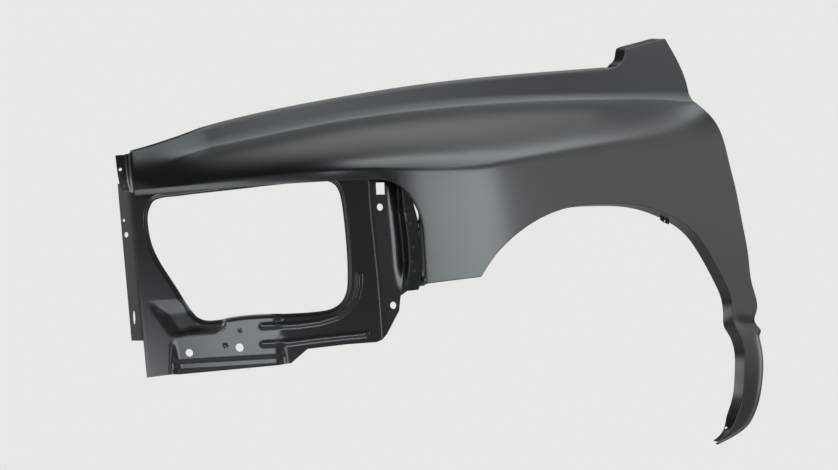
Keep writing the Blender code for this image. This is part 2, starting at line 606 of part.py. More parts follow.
def line_distance(points, line):
    """Distance of each point from a polyline."""
    best = np.full(len(points), np.inf)
    for start, end in zip(line[:-1], line[1:]):
        way = end - start
        t = np.clip((points - start) @ way / (way @ way), 0, 1)
        best = np.minimum(best, np.linalg.norm(points - start - t[:, None] * way, axis=1))
    return best


def opening_line(count):
    """The opening's outline as a smooth loop."""
    return through(opening_shares, count) * PANEL_RUN


def panel_depth(places):
    """Depth of the panel's front face behind its plane, the sum of its pressed features.

    From the nose outboard: a flange folded back, the flat round the opening, a face folded back, a
    trough and the weld flange; below the opening a tilted plate with two steps, a funnel and two beads.
    """
    a, b = places.T / PANEL_RUN
    nose_fold = table(nose_fold_shares, b)
    side_fold = table(side_fold_shares, b)
    brow = table(brow_shares, b)
    trough = table(trough_shares, b)
    crest = table(crest_shares, b)
    weld = table(weld_depth_shares, b)
    brow_depth = FOLD_SLOPE * (brow - side_fold)
    hollow = TROUGH_DEPTH / PANEL_RUN * smooth((b - trough_shares[1][0]) / hollow_fade_share)
    deepest = np.maximum(brow_depth, weld) + hollow
    depth = FLANGE_SLOPE * np.maximum(nose_fold - a, 0)
    depth += brow_depth * np.clip((a - side_fold) / (brow - side_fold), 0, 1)
    depth += (deepest - brow_depth) * np.clip((a - brow) / (trough - brow), 0, 1)
    depth += (weld - deepest) * np.clip((a - trough) / (crest - trough), 0, 1)

    top = table(plate_top_shares, a)
    across = smooth((a - plate_start_share) / plate_start_fade_share)
    across *= smooth((plate_end_share - a) / plate_end_fade_share)
    plate = across * smooth((top + plate_rise_share - b) / plate_rise_fade_share)
    steps = sum(smooth((step - b) / step_fade_share) for step in step_shares)
    depth += plate * (PLATE_TILT * (plate_hinge_share - b) + PLATE_STEP / PANEL_RUN * steps)
    beyond = a + funnel_foot_share + (b + funnel_level_share) * funnel_slope_share
    funnel = smooth(beyond / funnel_side_fade_share) * smooth((b - top) / plate_rise_fade_share)
    funnel *= smooth((funnel_end_share - a) / funnel_end_fade_share)
    depth += FUNNEL_DEPTH / PANEL_RUN * funnel * smooth((funnel_top_share - b) / funnel_top_fade_share)
    depth = depth * PANEL_RUN

    for shares in (upper_bead_shares, lower_bead_shares):
        off = line_distance(places, np.array(shares) * PANEL_RUN) / BEAD_HALF
        depth -= BEAD_HEIGHT * np.maximum(1 - off ** 2, 0) ** 2
    edge = line_distance(places, opening_line(4 * OPENING_POINTS)) / RIM_WIDTH
    return depth + RIM_DEPTH * np.maximum(1 - edge, 0) ** 2


def panel_place(places, depth):
    """Points in space of panel places at a depth."""
    a, b = places.T
    x = PANEL_X + a * cos(PANEL_HEADING) + depth * sin(PANEL_HEADING)
    y = PANEL_Y - a * sin(PANEL_HEADING) + depth * cos(PANEL_HEADING)
    return np.stack([x, y, b], -1)


def hole_loop(hole, count):
    """Outline of a hole: an ellipse, or a rectangle where its sides are straight."""
    a, b, half_a, half_b, straight = hole
    angle = np.arange(count) * 2 * pi / count
    loop = np.stack([np.cos(angle), np.sin(angle)], -1)
    if straight:
        loop /= np.abs(loop).max(axis=1)[:, None]
    return (loop * (half_a, half_b) + (a, b)) * PANEL_RUN


def inside(points, loop):
    """Whether each point lies inside a closed outline."""
    x, y = points.T
    hit = np.zeros(len(points), bool)
    for (x0, y0), (x1, y1) in zip(loop, np.roll(loop, -1, 0)):
        if y0 != y1:
            hit ^= ((y0 > y) != (y1 > y)) & (x < (x1 - x0) * (y - y0) / (y1 - y0) + x0)
    return hit


def split_line(line, longest):
    """A polyline with its long runs cut into equal steps."""
    parts = []
    for start, end in zip(line[:-1], line[1:]):
        count = max(int(np.ceil(np.linalg.norm(end - start) / longest)), 1)
        parts.append(between(start, end, count)[:-1])
    return np.concatenate(parts + [line[-1:]])


def beside(line, offset):
    """A polyline moved sideways."""
    way = np.gradient(line, axis=0)
    way /= np.linalg.norm(way, axis=1)[:, None]
    return line + offset * np.stack([-way[:, 1], way[:, 0]], -1)


def panel_lines():
    """Outlines of the panel as closed loops, and the lines along its folds."""
    outline = np.array(panel_shares) * PANEL_RUN
    loops = [split_line(np.concatenate([outline, outline[:1]]), PANEL_CELL)[:-1]]
    loops.append(opening_line(OPENING_POINTS)[:-1])
    loops.extend(hole_loop(hole, HOLE_POINTS) for hole in panel_hole_shares)
    lines = []
    for shares in (nose_fold_shares, side_fold_shares, brow_shares, trough_shares, crest_shares):
        lines.append(split_line(np.array(shares)[:, ::-1] * PANEL_RUN, PANEL_CELL))
    for shares in (upper_bead_shares, lower_bead_shares):
        bead = through(shares, len(shares) * 3) * PANEL_RUN
        lines.extend((bead, beside(bead, BEAD_HALF), beside(bead, -BEAD_HALF)))
    return loops, lines


def panel_sheet():
    """Vertices and triangles of the panel's front face."""
    loops, lines = panel_lines()
    points = []
    edges = []
    for loop in loops:
        base = len(points)
        points.extend(loop)
        edges.extend((base + i, base + (i + 1) % len(loop)) for i in range(len(loop)))
    for line in lines:
        base = len(points)
        points.extend(line)
        edges.extend((base + i, base + i + 1) for i in range(len(line) - 1))
    low = loops[0].min(axis=0)
    span = loops[0].max(axis=0) - low
    columns = np.arange(int(span[0] / PANEL_CELL) + 2)
    rows = np.arange(int(span[1] / (PANEL_CELL * cos(pi / 6))) + 2)
    grid = np.array([((c + (r % 2) / 2) * PANEL_CELL, r * PANEL_CELL * cos(pi / 6)) for r in rows for c in columns])
    grid = grid + low
    clear = inside(grid, loops[0])
    for loop in loops:
        clear &= line_distance(grid, np.concatenate([loop, loop[:1]])) > PANEL_CELL / 2
    for loop in loops[1:]:
        clear &= ~inside(grid, loop)
    for line in lines:
        clear &= line_distance(grid, line) > PANEL_CELL / 2
    points.extend(grid[clear])
    places, _, faces, *_ = delaunay_2d_cdt([Vector(p) for p in points], edges, [], 0, SHEET / 100)
    places = np.array([tuple(p) for p in places])
    faces = np.array(faces)
    middle = places[faces].mean(axis=1)
    keep = inside(middle, loops[0])
    for loop in loops[1:]:
        keep &= ~inside(middle, loop)
    faces = faces[keep]
    used, faces = np.unique(faces, return_inverse=True)
    places = places[used]
    return panel_place(places, panel_depth(places)), faces.reshape(-1, 3)


# Cowl bracket, a channel held inside the cowl tip
BRACKET_BACK = 0.145
BRACKET_LENGTH = 0.044
BRACKET_START = DOOR_RUN - BRACKET_BACK
BRACKET_END = BRACKET_START + BRACKET_LENGTH
BRACKET_LOW = 0.428
BRACKET_HIGH = 0.443
BRACKET_EAR = 0.026
BRACKET_LONG_EAR = 0.034
BRACKET_STATIONS = 5


def bracket_sheet():
    """Vertices and faces of the cowl bracket: a base against the skin with an ear turned in at each side."""
    base = SHEET + FIT_GAP
    profile = ((BRACKET_LOW, BRACKET_LONG_EAR), (BRACKET_LOW, base), (BRACKET_HIGH, base), (BRACKET_HIGH, BRACKET_EAR))
    u = np.linspace(BRACKET_START, BRACKET_END, BRACKET_STATIONS)
    rows = []
    for w, inward in profile:
        level = np.full_like(u, w)
        rows.append(skin_point(u, level) - inward * face_normal(u, level))
    points = np.concatenate(rows)
    index = np.arange(len(points)).reshape(len(profile), len(u))
    a, b = index[:-1, :-1].ravel(), index[:-1, 1:].ravel()
    c, d = index[1:, 1:].ravel(), index[1:, :-1].ravel()
    return points, np.stack([a, b, c, d], -1).tolist()


def clear_scene():
    for obj in list(bpy.data.objects):
        bpy.data.objects.remove(obj)


def new_object(name, points, faces, collection, material):
    mesh = bpy.data.meshes.new(name)
    mesh.from_pydata([tuple(p) for p in points], [], [tuple(f) for f in faces])
    mesh.validate()
    mesh.shade_smooth()
    mesh.materials.append(material)
    obj = bpy.data.objects.new(name, mesh)
    collection.objects.link(obj)
    return obj


def sheet_metal(obj):
    wall = obj.modifiers.new("Sheet", "SOLIDIFY")
    wall.thickness = SHEET
    wall.offset = -1
    wall.use_quality_normals = True


def hole_cutters(name, holes, origin, collection):
    """One object with a round cutter through each hole."""
    shape = bmesh.new()
    for centre, axis, radius in holes:
        turn = Vector(axis).to_track_quat("Z", "Y").to_matrix().to_4x4()
        place = Matrix.Translation(Vector(centre - origin)) @ turn
        bmesh.ops.create_cone(shape, cap_ends=True, segments=HOLE_POINTS, radius1=radius, radius2=radius,
                              depth=CUTTER_DEPTH, matrix=place)
    mesh = bpy.data.meshes.new(name)
    shape.to_mesh(mesh)
    shape.free()
    obj = bpy.data.objects.new(name, mesh)
    obj.hide_render = True
    obj.display_type = "WIRE"
    collection.objects.link(obj)
    return obj


def drill(obj, cutter):
    cut = obj.modifiers.new("Holes", "BOOLEAN")
    cut.operation = "DIFFERENCE"
    cut.solver = "EXACT"
    cut.object = cutter


def primer(name, colour, roughness):
    """Satin primer, by its colour and roughness."""
    material = bpy.data.materials.new(name)
    material.use_nodes = True
    shader = material.node_tree.nodes["Principled BSDF"]
    shader.inputs["Base Color"].default_value = (*colour, 1.0)
    shader.inputs["Roughness"].default_value = roughness
    shader.inputs["Metallic"].default_value = 0.0
    material.diffuse_color = (*colour, 1.0)
    return material


def build():
    clear_scene()
    fender = bpy.data.collections.new("left_front_fender")
    cutters = bpy.data.collections.new("cutters")
    bpy.context.scene.collection.children.link(fender)
    bpy.context.scene.collection.children.link(cutters)
    skin_primer = primer("skin_primer", SKIN_COLOUR, SKIN_ROUGHNESS)
    inner_primer = primer("inner_primer", INNER_COLOUR, INNER_ROUGHNESS)

    points, faces, origin, holes = skin_sheet()
    skin = new_object("fender_skin", points - origin, faces, fender, skin_primer)
    sheet_metal(skin)
    drill(skin, hole_cutters("flange_hole_cutters", holes, origin, cutters))
    points, faces = panel_sheet()
    sheet_metal(new_object("headlamp_panel", points - origin, faces, fender, inner_primer))
    points, faces = bracket_sheet()
    sheet_metal(new_object("cowl_bracket", points - origin, faces, fender, inner_primer))
    return origin


ORIGIN = build()
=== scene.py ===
"""Looks of a left front fender, built around its CAD part: the pressed skin with the arch's clip ear, the
headlamp panel and the cowl bracket as fine parametric sheets in satin primer, with a plain studio stage.

The skin's sizes are given in the vehicle's frame: x rearward from the crown of the wheel arch, y inboard
and z up.  Finished pieces are moved so that the rail pad lies at the origin, as in the CAD part.
"""

from math import cos, pi, radians, sin

import bpy
import numpy as np
from bpy.props import FloatProperty, FloatVectorProperty, IntProperty, PointerProperty
from bpy.types import Operator, Panel, PropertyGroup
from mathutils import Matrix, Vector
from mathutils.geometry import delaunay_2d_cdt

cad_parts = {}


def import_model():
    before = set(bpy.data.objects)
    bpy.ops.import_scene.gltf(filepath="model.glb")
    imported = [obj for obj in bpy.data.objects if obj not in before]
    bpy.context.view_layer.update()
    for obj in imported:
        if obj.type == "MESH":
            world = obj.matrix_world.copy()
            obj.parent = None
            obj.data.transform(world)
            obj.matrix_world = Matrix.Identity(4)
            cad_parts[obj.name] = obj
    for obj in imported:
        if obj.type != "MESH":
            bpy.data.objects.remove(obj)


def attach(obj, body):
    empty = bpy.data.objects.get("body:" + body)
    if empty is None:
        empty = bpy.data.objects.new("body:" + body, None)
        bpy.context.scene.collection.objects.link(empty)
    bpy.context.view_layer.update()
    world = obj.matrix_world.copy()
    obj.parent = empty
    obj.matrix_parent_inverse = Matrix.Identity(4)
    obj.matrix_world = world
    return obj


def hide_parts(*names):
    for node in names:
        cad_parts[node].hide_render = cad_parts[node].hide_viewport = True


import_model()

bl_info = {
    "name": "Front fender looks",
    "version": (1, 0),
    "blender": (4, 5, 0),
    "location": "3D View > Sidebar > Fender",
    "description": "Builds the fender's pressed sheets, their satin primer and the studio stage",
    "category": "Object",
}

# Plan and section of the skin
NOSE_RUN = 1.062
TURN_START = 0.230
TURN_LENGTH = 0.670
NOSE_SWEEP = radians(68)
HOOD_NOSE_X = 0.767
HOOD_NOSE_Y = 0.526
HOOD_TAPER = 0.277
HOOD_RUN = 1.130
COWL_FLARE = 0.045
COWL_FLARE_RUN = 0.320
HOOD_HEIGHT = 0.326
VALLEY_HEIGHT = 0.256
CROWN_HEIGHT = 0.212
WALL_LEAN = 0.30
VALLEY_REACH = 0.020
SIDE_DROP = 0.085
TUMBLE = 0.030
TUMBLE_FOOT = 0.120
TUMBLE_RISE = 0.250
NOSE_FADE = 0.200
NOSE_DROP_SHARE = 0.38
SIDE_LEAST = 0.009
SIDE_START = 0.750
SIDE_FADE = 0.400
LIP_HEIGHT = 0.022
LIP_ROLL = 0.007
LIP_ROLL_RISE = 0.030
TAIL_DEPTH = 0.484
TAIL_TUCK = 0.034
TUCK_START = 0.250
EDGE_ROLL = 0.012
EDGE_ROLL_WIDTH = 0.055
PINCH_LEVEL = 0.236
PINCH_DEPTH = 0.004
PINCH_WIDTH = 0.014
FILLET_MOST_SHARE = 0.4
SIDE_PULL_SHARE = 0.55
FOOT_PULL_SHARE = 0.62
CLOSED_CROWN_SHARE = 0.35
CLOSED_VALLEY_SHARE = 0.62
PLAN_POINTS = 6001
NORMAL_STEP = 0.00025

# Rails of the section as shares of run and height
HOOD_SHARES = ((0.0, 0.325), (0.148, 0.488), (0.360, 0.663), (0.612, 0.822), (0.856, 0.933),
               (1.033, 1.0), (1.21, 1.058))
VALLEY_SHARES = ((0.0, 0.273), (0.068, 0.383), (0.183, 0.508), (0.360, 0.680), (0.590, 0.840),
                 (0.856, 0.957), (1.033, 1.0), (1.21, 1.023))
CROWN_SHARES = ((-1.0, 0.236), (-0.80, 0.283), (-0.584, 0.377), (-0.414, 0.528), (-0.188, 0.708),
                (0.094, 0.896), (0.339, 1.0), (0.565, 1.061))

# Outlines of the skin
DOOR_RUN = 0.547
ARCH_REACH = 0.460
SILL_DEPTH = 0.170
LAMP_EDGE = 0.520
LAMP_CORNER_RUN = 0.077
LAMP_CORNER_RISE = 0.097
COWL_NOTCH = 0.355
COWL_RISE = 0.066
COWL_MOUTH = 0.047
DOOR_SHARES = ((-1.0, 0.797), (-0.971, 0.892), (-0.932, 0.980), (-0.880, 1.029), (-0.818, 1.055),
               (-0.746, 1.068), (-0.671, 1.073), (-0.612, 1.068), (-0.543, 1.049), (-0.508, 1.031),
               (-0.465, 0.987), (-0.424, 1.002), (-0.318, 0.982), (-0.178, 0.965), (-0.037, 0.949),
               (0.107, 0.945), (0.252, 0.943), (0.393, 0.949), (0.517, 0.923), (0.657, 0.932),
               (0.826, 0.920), (0.909, 0.905))
ARCH_SHARES = ((-0.870, -0.326), (-0.809, -0.264), (-0.670, -0.171), (-0.472, -0.089), (-0.230, -0.031),
               (0.039, -0.006), (0.270, 0.0), (0.539, -0.037), (0.722, -0.105), (0.837, -0.205),
               (0.935, -0.310), (0.983, -0.386), (0.998, -0.488), (1.041, -0.545), (1.070, -0.605),
               (1.074, -0.692), (1.070, -0.798), (1.041, -0.876), (1.0, -0.936), (0.946, -0.969),
               (0.896, -0.988))
MOUTH_SHARES = ((0.0, 0.0), (0.47, 0.02), (0.80, 0.16), (1.0, 0.42))
ARCH_FRONT_KNOT = 2
ARCH_REAR_KNOT = 8
DOOR_POINTS = np.array(DOOR_SHARES) * (TAIL_DEPTH, DOOR_RUN)
ARCH_POINTS = np.array(ARCH_SHARES) * (ARCH_REACH, TAIL_DEPTH)

# Grid of the CAD skin, which every fineness divides evenly
NOSE_COLUMNS = 19
CORNER_COLUMNS = 3
FRONT_COLUMNS = 9
ARCH_COLUMNS = 16
REAR_COLUMNS = 8
TIP_START = 3
FRONT_ROWS = 8
TAIL_ROWS = 24
TIP_ROWS = 4
ROW_COUNTS = (4, 6, 2, 2)
ROW_MARKS = (0.0, 0.30, 0.80, 0.88, 1.0)
DOOR_LEVEL_SHARE = 1.6
REAR_LEAN = 0.03
SETTLE_ROUNDS = 6
FINE_ARC_STEPS = 4
FINE_TAIL_STEPS = 8

# Turned edges: three bends each, as (outward along the face, inward from it)
ARCH_TURN = ((0.0012, 0.003), (0.0008, 0.014), (0.0, 0.026))
LIP_TURN = ((0.0010, 0.003), (0.0006, 0.008), (0.0, 0.014))
LAMP_TURN = ((0.0010, 0.003), (0.0008, 0.0055), (0.0, 0.008))
WELD_TURN = ((0.0010, 0.003), (0.0040, 0.0065), (0.0160, 0.0155))
DOOR_TURN = ((0.0015, 0.003), (0.0015, 0.010), (0.0, 0.018))
COWL_TURN = ((0.0030, 0.002), (0.0080, 0.009), (0.0150, 0.019))
HOOD_TURN = ((0.0070, 0.007), (-0.0030, 0.011), (-0.0030, 0.038))

# Steps of the nose flange with its second line, given the same way
NOSE_STEPS = ((0.0025, 0.0002), (0.0048, 0.0010), (0.0064, 0.0028), (0.0070, 0.0052), (0.0082, 0.0068),
              (0.0106, 0.0074), (0.0122, 0.0086), (0.0130, 0.0104), (0.0146, 0.0118), (0.0180, 0.0124),
              (0.0235, 0.0147), (0.0290, 0.0170))

BEND_PULL_SHARE = 0.45
SMALL_COLUMNS = 3
TIP_TAPER = 0.060
TIP_TURN_SHARE = 0.35
PAD_START = 34
PAD_COLUMNS = 4
PAD_FADE_STEPS = 3
NOSE_NOTCH_ROWS = 2

# Holes of the turned edges in the part's own frame: centre, axis and radius
SKIN_HOLES = (
    ((0.0201, -0.0056, 0.0), (0.0, 0.0, -1.0), 0.0050),
    ((0.3612, -0.1100, 0.0420), (0.176, -0.316, -0.932), 0.0050),
    ((-0.3627, 0.1004, -0.0681), (0.107, -0.326, -0.939), 0.0050),
    ((0.4652, -0.2998, -0.7200), (0.715, 0.105, -0.691), 0.0032),
    ((-0.7809, 0.2023, -0.1964), (0.862, 0.424, -0.279), 0.0032),
    ((-0.7833, 0.1929, -0.2298), (0.924, 0.193, 0.331), 0.0032),
)
CUTTER_DEPTH = 0.012
CUTTER_SIDES = 32

# Clip ear on the wheel arch
CLIP_PLACE = (0.2545, -0.0190)
CLIP_INWARD = 0.024
CLIP_HALF = 0.016
CLIP_DEPTH = 0.0075
CLIP_HOLE = 0.0022
ARCH_STEPS = 400

# Headlamp panel; all its shares are of PANEL_RUN
PANEL_X = -0.7627
PANEL_Y = 0.5016
PANEL_HEADING = radians(63.43)
PANEL_RUN = 0.500
FLANGE_SLOPE = 0.40
FOLD_SLOPE = 0.55
TROUGH_DEPTH = 0.014
PLATE_TILT = 0.25
PLATE_STEP = 0.004
FUNNEL_DEPTH = 0.005
BEAD_HEIGHT = 0.0026
BEAD_HALF = 0.0075
RIM_DEPTH = 0.0025
RIM_WIDTH = 0.0075
RIM_FLAT = 0.0030
TROUGH_FADE_SHARE = 0.12
BEND_SAMPLES = 7
BEND_FALL_SHARE = 0.75

# Lower plate and funnel: where each starts or ends, and the run over which it fades
PLATE_START_SHARES = (0.070, 0.024)
PLATE_END_SHARES = (0.512, 0.050)
PLATE_BRIM_SHARE = 0.012
PLATE_FADE_SHARE = 0.030
PLATE_LEVEL_SHARE = -0.490
PLATE_STEP_SHARES = (-0.566, -0.600)
STEP_FADE_SHARE = 0.012
FUNNEL_START_SHARE = 0.018
FUNNEL_PIVOT_SHARE = 0.350
FUNNEL_SLANT = 0.70
FUNNEL_FADE_SHARE = 0.050
FUNNEL_END_SHARES = (0.270, 0.100)
FUNNEL_TOP_SHARES = (-0.340, 0.060)

# Small pressed marks of the panel, as (place on it), reach and rise; and its spot welds, as places
PANEL_MARKS = (((0.138, -0.262), 0.0055, -0.0016), ((0.170, -0.236), 0.0045, 0.0012),
               ((0.405, -0.255), 0.0050, 0.0014))
PANEL_WELDS = ((0.490, -0.060), (0.494, -0.103), (0.490, -0.130), (0.493, -0.146), (0.488, -0.030))
WELD_REACH = 0.0036

# Outline and opening, as (outboard, up)
PANEL_SHARES = ((-0.114, 0.100), (-0.112, 0.046), (-0.084, -0.484), (-0.032, -0.488), (-0.024, -0.624),
                (0.068, -0.618), (0.494, -0.604), (0.524, -0.602), (0.588, -0.554), (0.730, -0.546),
                (0.848, -0.544), (0.868, -0.536), (0.884, -0.516), (0.927, -0.434), (0.934, -0.380),
                (0.957, -0.364), (0.999, -0.362), (1.010, -0.334), (1.012, -0.160), (1.010, -0.120),
                (1.005, -0.086), (0.999, -0.062), (0.994, -0.040), (0.991, -0.022), (0.985, 0.0),
                (0.973, 0.024), (0.950, 0.052), (0.920, 0.092))
OPENING_SHARES = ((0.180, 0.040), (0.096, 0.036), (0.046, 0.032), (0.024, 0.022), (0.012, 0.004),
                  (0.002, -0.030), (0.002, -0.066), (0.016, -0.142), (0.062, -0.236), (0.120, -0.332),
                  (0.154, -0.390), (0.176, -0.414), (0.204, -0.426), (0.240, -0.429), (0.318, -0.422),
                  (0.480, -0.420), (0.640, -0.420), (0.688, -0.412), (0.722, -0.390), (0.741, -0.356),
                  (0.748, -0.310), (0.748, -0.158), (0.740, -0.040), (0.732, 0.006), (0.716, 0.036),
                  (0.686, 0.052), (0.640, 0.055), (0.480, 0.051), (0.330, 0.045), (0.180, 0.040))

# Folds and depths up the panel, as (up, outboard) or (up, depth)
SIDE_FOLD_SHARES = ((-0.60, 0.870), (-0.428, 0.866), (-0.312, 0.862), (-0.208, 0.856), (-0.080, 0.848),
                    (0.028, 0.846), (0.110, 0.844))
BROW_SHARES = ((-0.60, 0.958), (-0.372, 0.942), (-0.342, 0.928), (-0.278, 0.922), (-0.174, 0.918),
               (-0.070, 0.912), (0.012, 0.912), (0.110, 0.910))
TROUGH_SHARES = ((-0.60, 0.962), (-0.372, 0.944), (-0.330, 0.945), (-0.260, 0.945), (-0.176, 0.943),
                 (-0.080, 0.936), (0.110, 0.932))
CREST_SHARES = ((-0.60, 0.966), (-0.372, 0.946), (-0.316, 0.962), (-0.258, 0.968), (-0.178, 0.968),
                (-0.096, 0.960), (-0.026, 0.952), (0.110, 0.950))
WELD_DEPTH_SHARES = ((-0.40, 0.046), (-0.150, 0.046), (-0.112, 0.0456), (-0.090, 0.0436),
                     (-0.076, 0.0420), (-0.050, 0.048), (-0.030, 0.051), (0.110, 0.051))
NOSE_FOLD_SHARES = ((-0.62, -0.024), (0.110, -0.064))

# The plate's top and the beads, as (outboard, up); holes add half a width, half a height and straight sides
PLATE_TOP_SHARES = ((0.060, -0.500), (0.094, -0.486), (0.144, -0.476), (0.254, -0.470), (0.276, -0.450),
                    (0.290, -0.390), (0.60, -0.390))
UPPER_BEAD_SHARES = ((0.424, -0.462), (0.556, -0.464), (0.640, -0.458), (0.706, -0.442),
                     (0.748, -0.416), (0.776, -0.380), (0.790, -0.336), (0.792, -0.298))
LOWER_BEAD_SHARES = ((0.420, -0.526), (0.524, -0.526), (0.642, -0.518), (0.732, -0.514), (0.806, -0.512))
PANEL_HOLE_SHARES = ((-0.094, -0.038, 0.005, 0.006, 0), (-0.086, -0.092, 0.009, 0.010, 0),
                     (-0.068, -0.400, 0.005, 0.026, 0), (0.138, -0.542, 0.014, 0.014, 0),
                     (0.330, -0.534, 0.015, 0.015, 0), (0.882, 0.012, 0.014, 0.022, 1),
                     (0.878, -0.056, 0.010, 0.013, 0), (0.908, -0.414, 0.010, 0.013, 0))
HOLE_POINTS = 24
OPENING_POINTS = 200

# Cowl bracket
BRACKET_START = 0.402
BRACKET_END = 0.446
BRACKET_LOW = 0.428
BRACKET_HIGH = 0.443
BRACKET_EAR = 0.026
BRACKET_LONG_EAR = 0.034
FIT_GAP = 0.0003

# Primer: waves per metre of its slow drift and of its orange peel
DRIFT_SCALE = 3.0
PEEL_SCALE = 420.0
PEEL_DETAIL = 2.0

# Stage: each lamp's place, and its width and height; the camera's sensor is in millimetres
LAMP_TARGET = (-0.10, -0.10, -0.25)
LAMPS = {
    "side_lamp": ((0.49, -2.60, 0.11), (2.6, 1.7)),
    "top_lamp": ((0.55, -0.75, 2.00), (2.9, 2.3)),
    "nose_lamp": ((-1.90, -0.31, -1.00), (0.55, 0.45)),
    "lip_lamp": ((-2.10, 0.10, -0.60), (0.35, 0.30)),
    "left_lamp": ((-1.30, 1.30, -0.25), (0.90, 0.90)),
    "back_lamp": ((-4.40, -3.20, -0.20), (0.60, 1.00)),
}
FLOOR_HALF = 20.0
FLOOR_ROUGHNESS = 0.9
SENSOR_WIDTH = 36.0
VIEW_REACH = 100.0


def smooth(t):
    """Step from 0 to 1 with level ends: three squares less two cubes of t."""
    t = np.clip(t, 0.0, 1.0)
    return t * t * (3.0 - 2.0 * t)


def spline(points, t):
    """Natural cubic curve through given points, run on straight past its ends."""
    xs, ys = np.array(points, float).T
    h = np.diff(xs)
    n = len(xs)
    rows = np.eye(n)
    rise = np.zeros(n)
    for i in range(1, n - 1):
        rows[i, i - 1:i + 2] = h[i - 1], 2 * (h[i - 1] + h[i]), h[i]
        rise[i] = 6 * ((ys[i + 1] - ys[i]) / h[i] - (ys[i] - ys[i - 1]) / h[i - 1])
    c = np.linalg.solve(rows, rise)
    t = np.asarray(t, float)
    held = np.clip(t, xs[0], xs[-1])
    k = np.clip(np.searchsorted(xs, held) - 1, 0, n - 2)
    a = xs[k + 1] - held
    b = held - xs[k]
    hk = h[k]
    value = (c[k] * a ** 3 + c[k + 1] * b ** 3) / (6 * hk)
    value += (ys[k] / hk - c[k] * hk / 6) * a + (ys[k + 1] / hk - c[k + 1] * hk / 6) * b
    first = (ys[1] - ys[0]) / h[0] - h[0] * (2 * c[0] + c[1]) / 6
    last = (ys[-1] - ys[-2]) / h[-1] + h[-1] * (2 * c[-1] + c[-2]) / 6
    return value + np.minimum(t - xs[0], 0) * first + np.maximum(t - xs[-1], 0) * last


def plan_table():
    """The belt line in plan: its heading turns inboard at the nose by a smooth step of its run."""
    u = np.linspace(-2 * NOSE_RUN, 2 * NOSE_RUN, PLAN_POINTS)
    heading = NOSE_SWEEP * smooth((-TURN_START - u) / TURN_LENGTH)
    step = u[1] - u[0]
    dx = np.cos(heading)
    dy = -np.sin(heading)
    x = np.concatenate([[0.0], np.cumsum(dx[1:] + dx[:-1]) * step / 2])
    y = np.concatenate([[0.0], np.cumsum(dy[1:] + dy[:-1]) * step / 2])
    return u, x - x[-1] + u[-1], y - y[-1]


PLAN_U, PLAN_X, PLAN_Y = plan_table()


def section(u):
    """Guide points of the section at station u, in its own plane as (inboard, height) pairs."""
    bx = np.interp(u, PLAN_U, PLAN_X)
    by = np.interp(u, PLAN_U, PLAN_Y)
    hx = u + (NOSE_RUN - HOOD_NOSE_X) * smooth((-TURN_START - u) / (NOSE_RUN - TURN_START))
    flare = np.maximum(hx + HOOD_NOSE_X - HOOD_RUN + COWL_FLARE_RUN / 2, 0) / COWL_FLARE_RUN
    hy = HOOD_NOSE_Y - HOOD_TAPER * (hx + HOOD_NOSE_X) - COWL_FLARE * flare ** 2
    reach = np.hypot(hx - bx, hy - by)
    along = (hx + HOOD_NOSE_X) / HOOD_RUN
    hood_z = HOOD_HEIGHT * spline(HOOD_SHARES, along)
    valley_z = VALLEY_HEIGHT * spline(VALLEY_SHARES, along)
    crown_z = CROWN_HEIGHT * spline(CROWN_SHARES, u / NOSE_RUN)
    opened = smooth((u + NOSE_RUN) / NOSE_FADE)
    closed_z = hood_z - LIP_HEIGHT
    drop_share = NOSE_DROP_SHARE + (1 - NOSE_DROP_SHARE) * smooth((u + SIDE_START) / SIDE_FADE)
    over = crown_z - SIDE_DROP * drop_share - LIP_HEIGHT - SIDE_LEAST
    side_z = LIP_HEIGHT + SIDE_LEAST + (over + np.hypot(over, SIDE_LEAST)) / 2
    lean = np.maximum(side_z + TUMBLE_FOOT, 0) / TUMBLE_RISE
    side_h = TUMBLE * lean ** 2
    crown_h = side_h + 2 * TUMBLE * lean / TUMBLE_RISE * (crown_z - side_z)
    valley_h = reach - WALL_LEAN * (hood_z - valley_z)
    crown_h = opened * crown_h + (1 - opened) * reach * CLOSED_CROWN_SHARE
    crown_z = opened * crown_z + (1 - opened) * (LIP_HEIGHT + closed_z * CLOSED_CROWN_SHARE)
    valley_h = opened * valley_h + (1 - opened) * reach * CLOSED_VALLEY_SHARE
    valley_z = opened * valley_z + (1 - opened) * (LIP_HEIGHT + closed_z * CLOSED_VALLEY_SHARE)
    return {
        "belt": (bx, by), "way": ((hx - bx) / reach, (hy - by) / reach),
        "side": (side_h, side_z), "crown": (crown_h, crown_z),
        "valley": (valley_h, valley_z), "hood": (reach, hood_z),
    }


def section_levels(guide):
    """Running height w at which side, crowned top, valley fillet and hood wall end."""
    side_h, side_z = guide["side"]
    crown_h, crown_z = guide["crown"]
    valley_h, valley_z = guide["valley"]
    hood_h, hood_z = guide["hood"]
    wall = np.hypot(hood_h - valley_h, hood_z - valley_z)
    top = np.hypot(valley_h - crown_h, valley_z - crown_z)
    fillet = np.minimum(VALLEY_REACH, FILLET_MOST_SHARE * wall)
    top_end = crown_z + top - fillet
    fillet_end = top_end + 2 * fillet
    return side_z, top_end, fillet_end, fillet_end + wall - fillet


